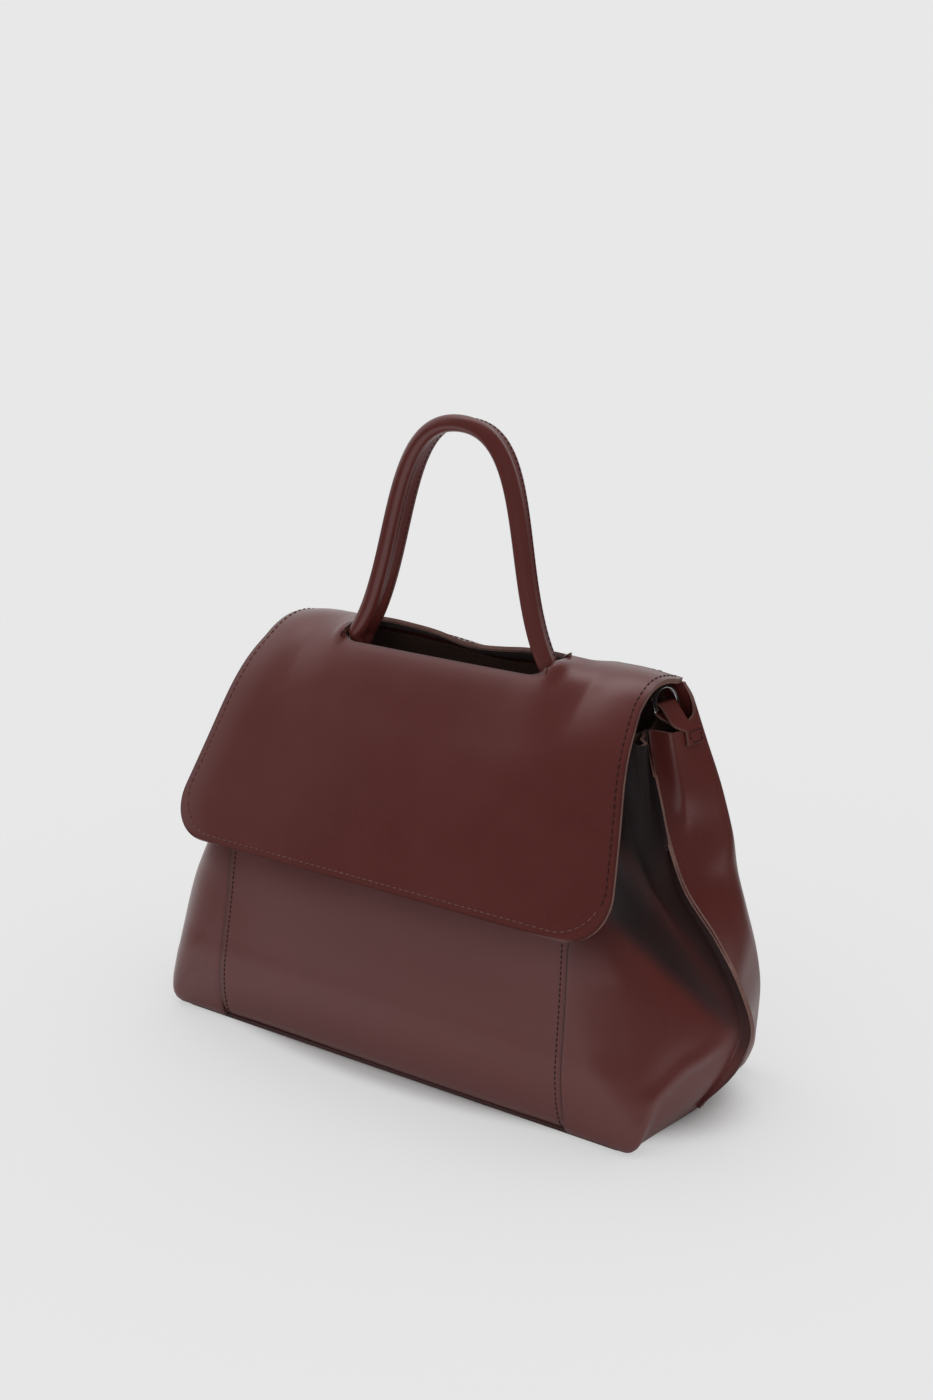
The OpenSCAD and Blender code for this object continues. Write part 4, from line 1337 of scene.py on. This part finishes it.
# Right beside the bag the floor takes its full shadow, and further away only a share of it
oval = vector(tree, "MULTIPLY", "Vector", place, (1 / SHADOW_OVAL[0], 1 / SHADOW_OVAL[1], 0))
reach = vector(tree, "LENGTH", "Value", oval)
glow_share = ranged(tree, reach, SHADOW_FADE, (0, 1 - FAR_SHADOW), smooth=True)
glow = add_node(tree, "ShaderNodeEmission", Color=PALE).outputs["Emission"]
shares = {1: floor_shader.outputs["BSDF"], 2: glow}
for_camera = number(tree, "MULTIPLY", rays["Is Camera Ray"], glow_share)
blend = add_node(tree, "ShaderNodeMixShader", None, shares, Fac=for_camera)
feed(tree, tree.nodes["Material Output"], {"Surface": blend.outputs["Shader"]})

mirror_run = vector(tree, "DOT_PRODUCT", "Value", place, MIRROR_AXIS)
mirror = add_node(tree, "ShaderNodeValToRGB", Fac=ranged(tree, mirror_run, (-1, 1)))
ramp = mirror.color_ramp
ramp.interpolation = "EASE"
ramp.elements.remove(ramp.elements[1])
ramp.elements[0].position = 0.0
for at, share in MIRROR_SHARES:
    ramp.elements.new((at + 1) / 2).color = (share, share, share, 1)
pale = mirror.outputs["Color"]
for centre, inner_radius, outer_radius, strength in MIRROR_SPOTS:
    away = vector(tree, "DISTANCE", "Value", place, centre)
    spot = ranged(tree, away, (inner_radius, outer_radius), (strength, 0), smooth=True)
    pale = number(tree, "MAXIMUM", pale, spot)
for_gloss = number(tree, "MULTIPLY", rays["Is Glossy Ray"], number(tree, "SUBTRACT", 1.0, pale))
feed(tree, floor_shader, {"Base Color": colour_mix(tree, PALE, (0, 0, 0), for_gloss)})
floor_mesh.materials.append(floor_paint)
print("floor brightness:", BACKDROP)

# %% World and sun
SKY = 0.80
SUN_SHARE = 1 - SKY
SUN_WIDTH = math.radians(60)
SUN_TILT = (math.radians(-12), math.radians(-14))
# Brightness of the mirrored room: it rises along its axis, and again straight overhead
ROOM_AXIS = (-0.8, 0.5, 0.0)
ROOM_RISE = (0.15, 0.50)
ROOM_LEVEL = 0.8
OVERHEAD_RISE = (0.72, 0.88)
OVERHEAD_GAIN = 3.2
world = bpy.data.worlds.new("studio")
world.use_nodes = True
bpy.context.scene.world = world
tree = world.node_tree
direction = add_node(tree, "ShaderNodeTexCoord").outputs["Generated"]
rays = add_node(tree, "ShaderNodeLightPath").outputs
room_run = vector(tree, "DOT_PRODUCT", "Value", direction, ROOM_AXIS)
room = ranged(tree, room_run, ROOM_RISE, (0, ROOM_LEVEL), smooth=True)
height = add_node(tree, "ShaderNodeSeparateXYZ", Vector=direction).outputs["Z"]
overhead = ranged(tree, height, OVERHEAD_RISE, (1, OVERHEAD_GAIN), smooth=True)
for_gloss = blend_of_two(tree, SKY, number(tree, "MULTIPLY", room, overhead), rays["Is Glossy Ray"])
for_camera = blend_of_two(tree, for_gloss, BACKDROP, rays["Is Camera Ray"])
feed(tree, tree.nodes["Background"], {"Color": for_camera})

sun_data = bpy.data.lights.new("soft_box", "SUN")
sun_data.angle = SUN_WIDTH
sun = bpy.data.objects.new("soft_box", sun_data)
sun.rotation_euler = (*SUN_TILT, 0)
sun_data.energy = SUN_SHARE * math.pi / (math.cos(SUN_TILT[0]) * math.cos(SUN_TILT[1]))
sun.visible_glossy = False
bpy.context.collection.objects.link(sun)
bpy.context.scene.view_settings.view_transform = "Standard"
print("sun strength:", round(sun_data.energy, 3))
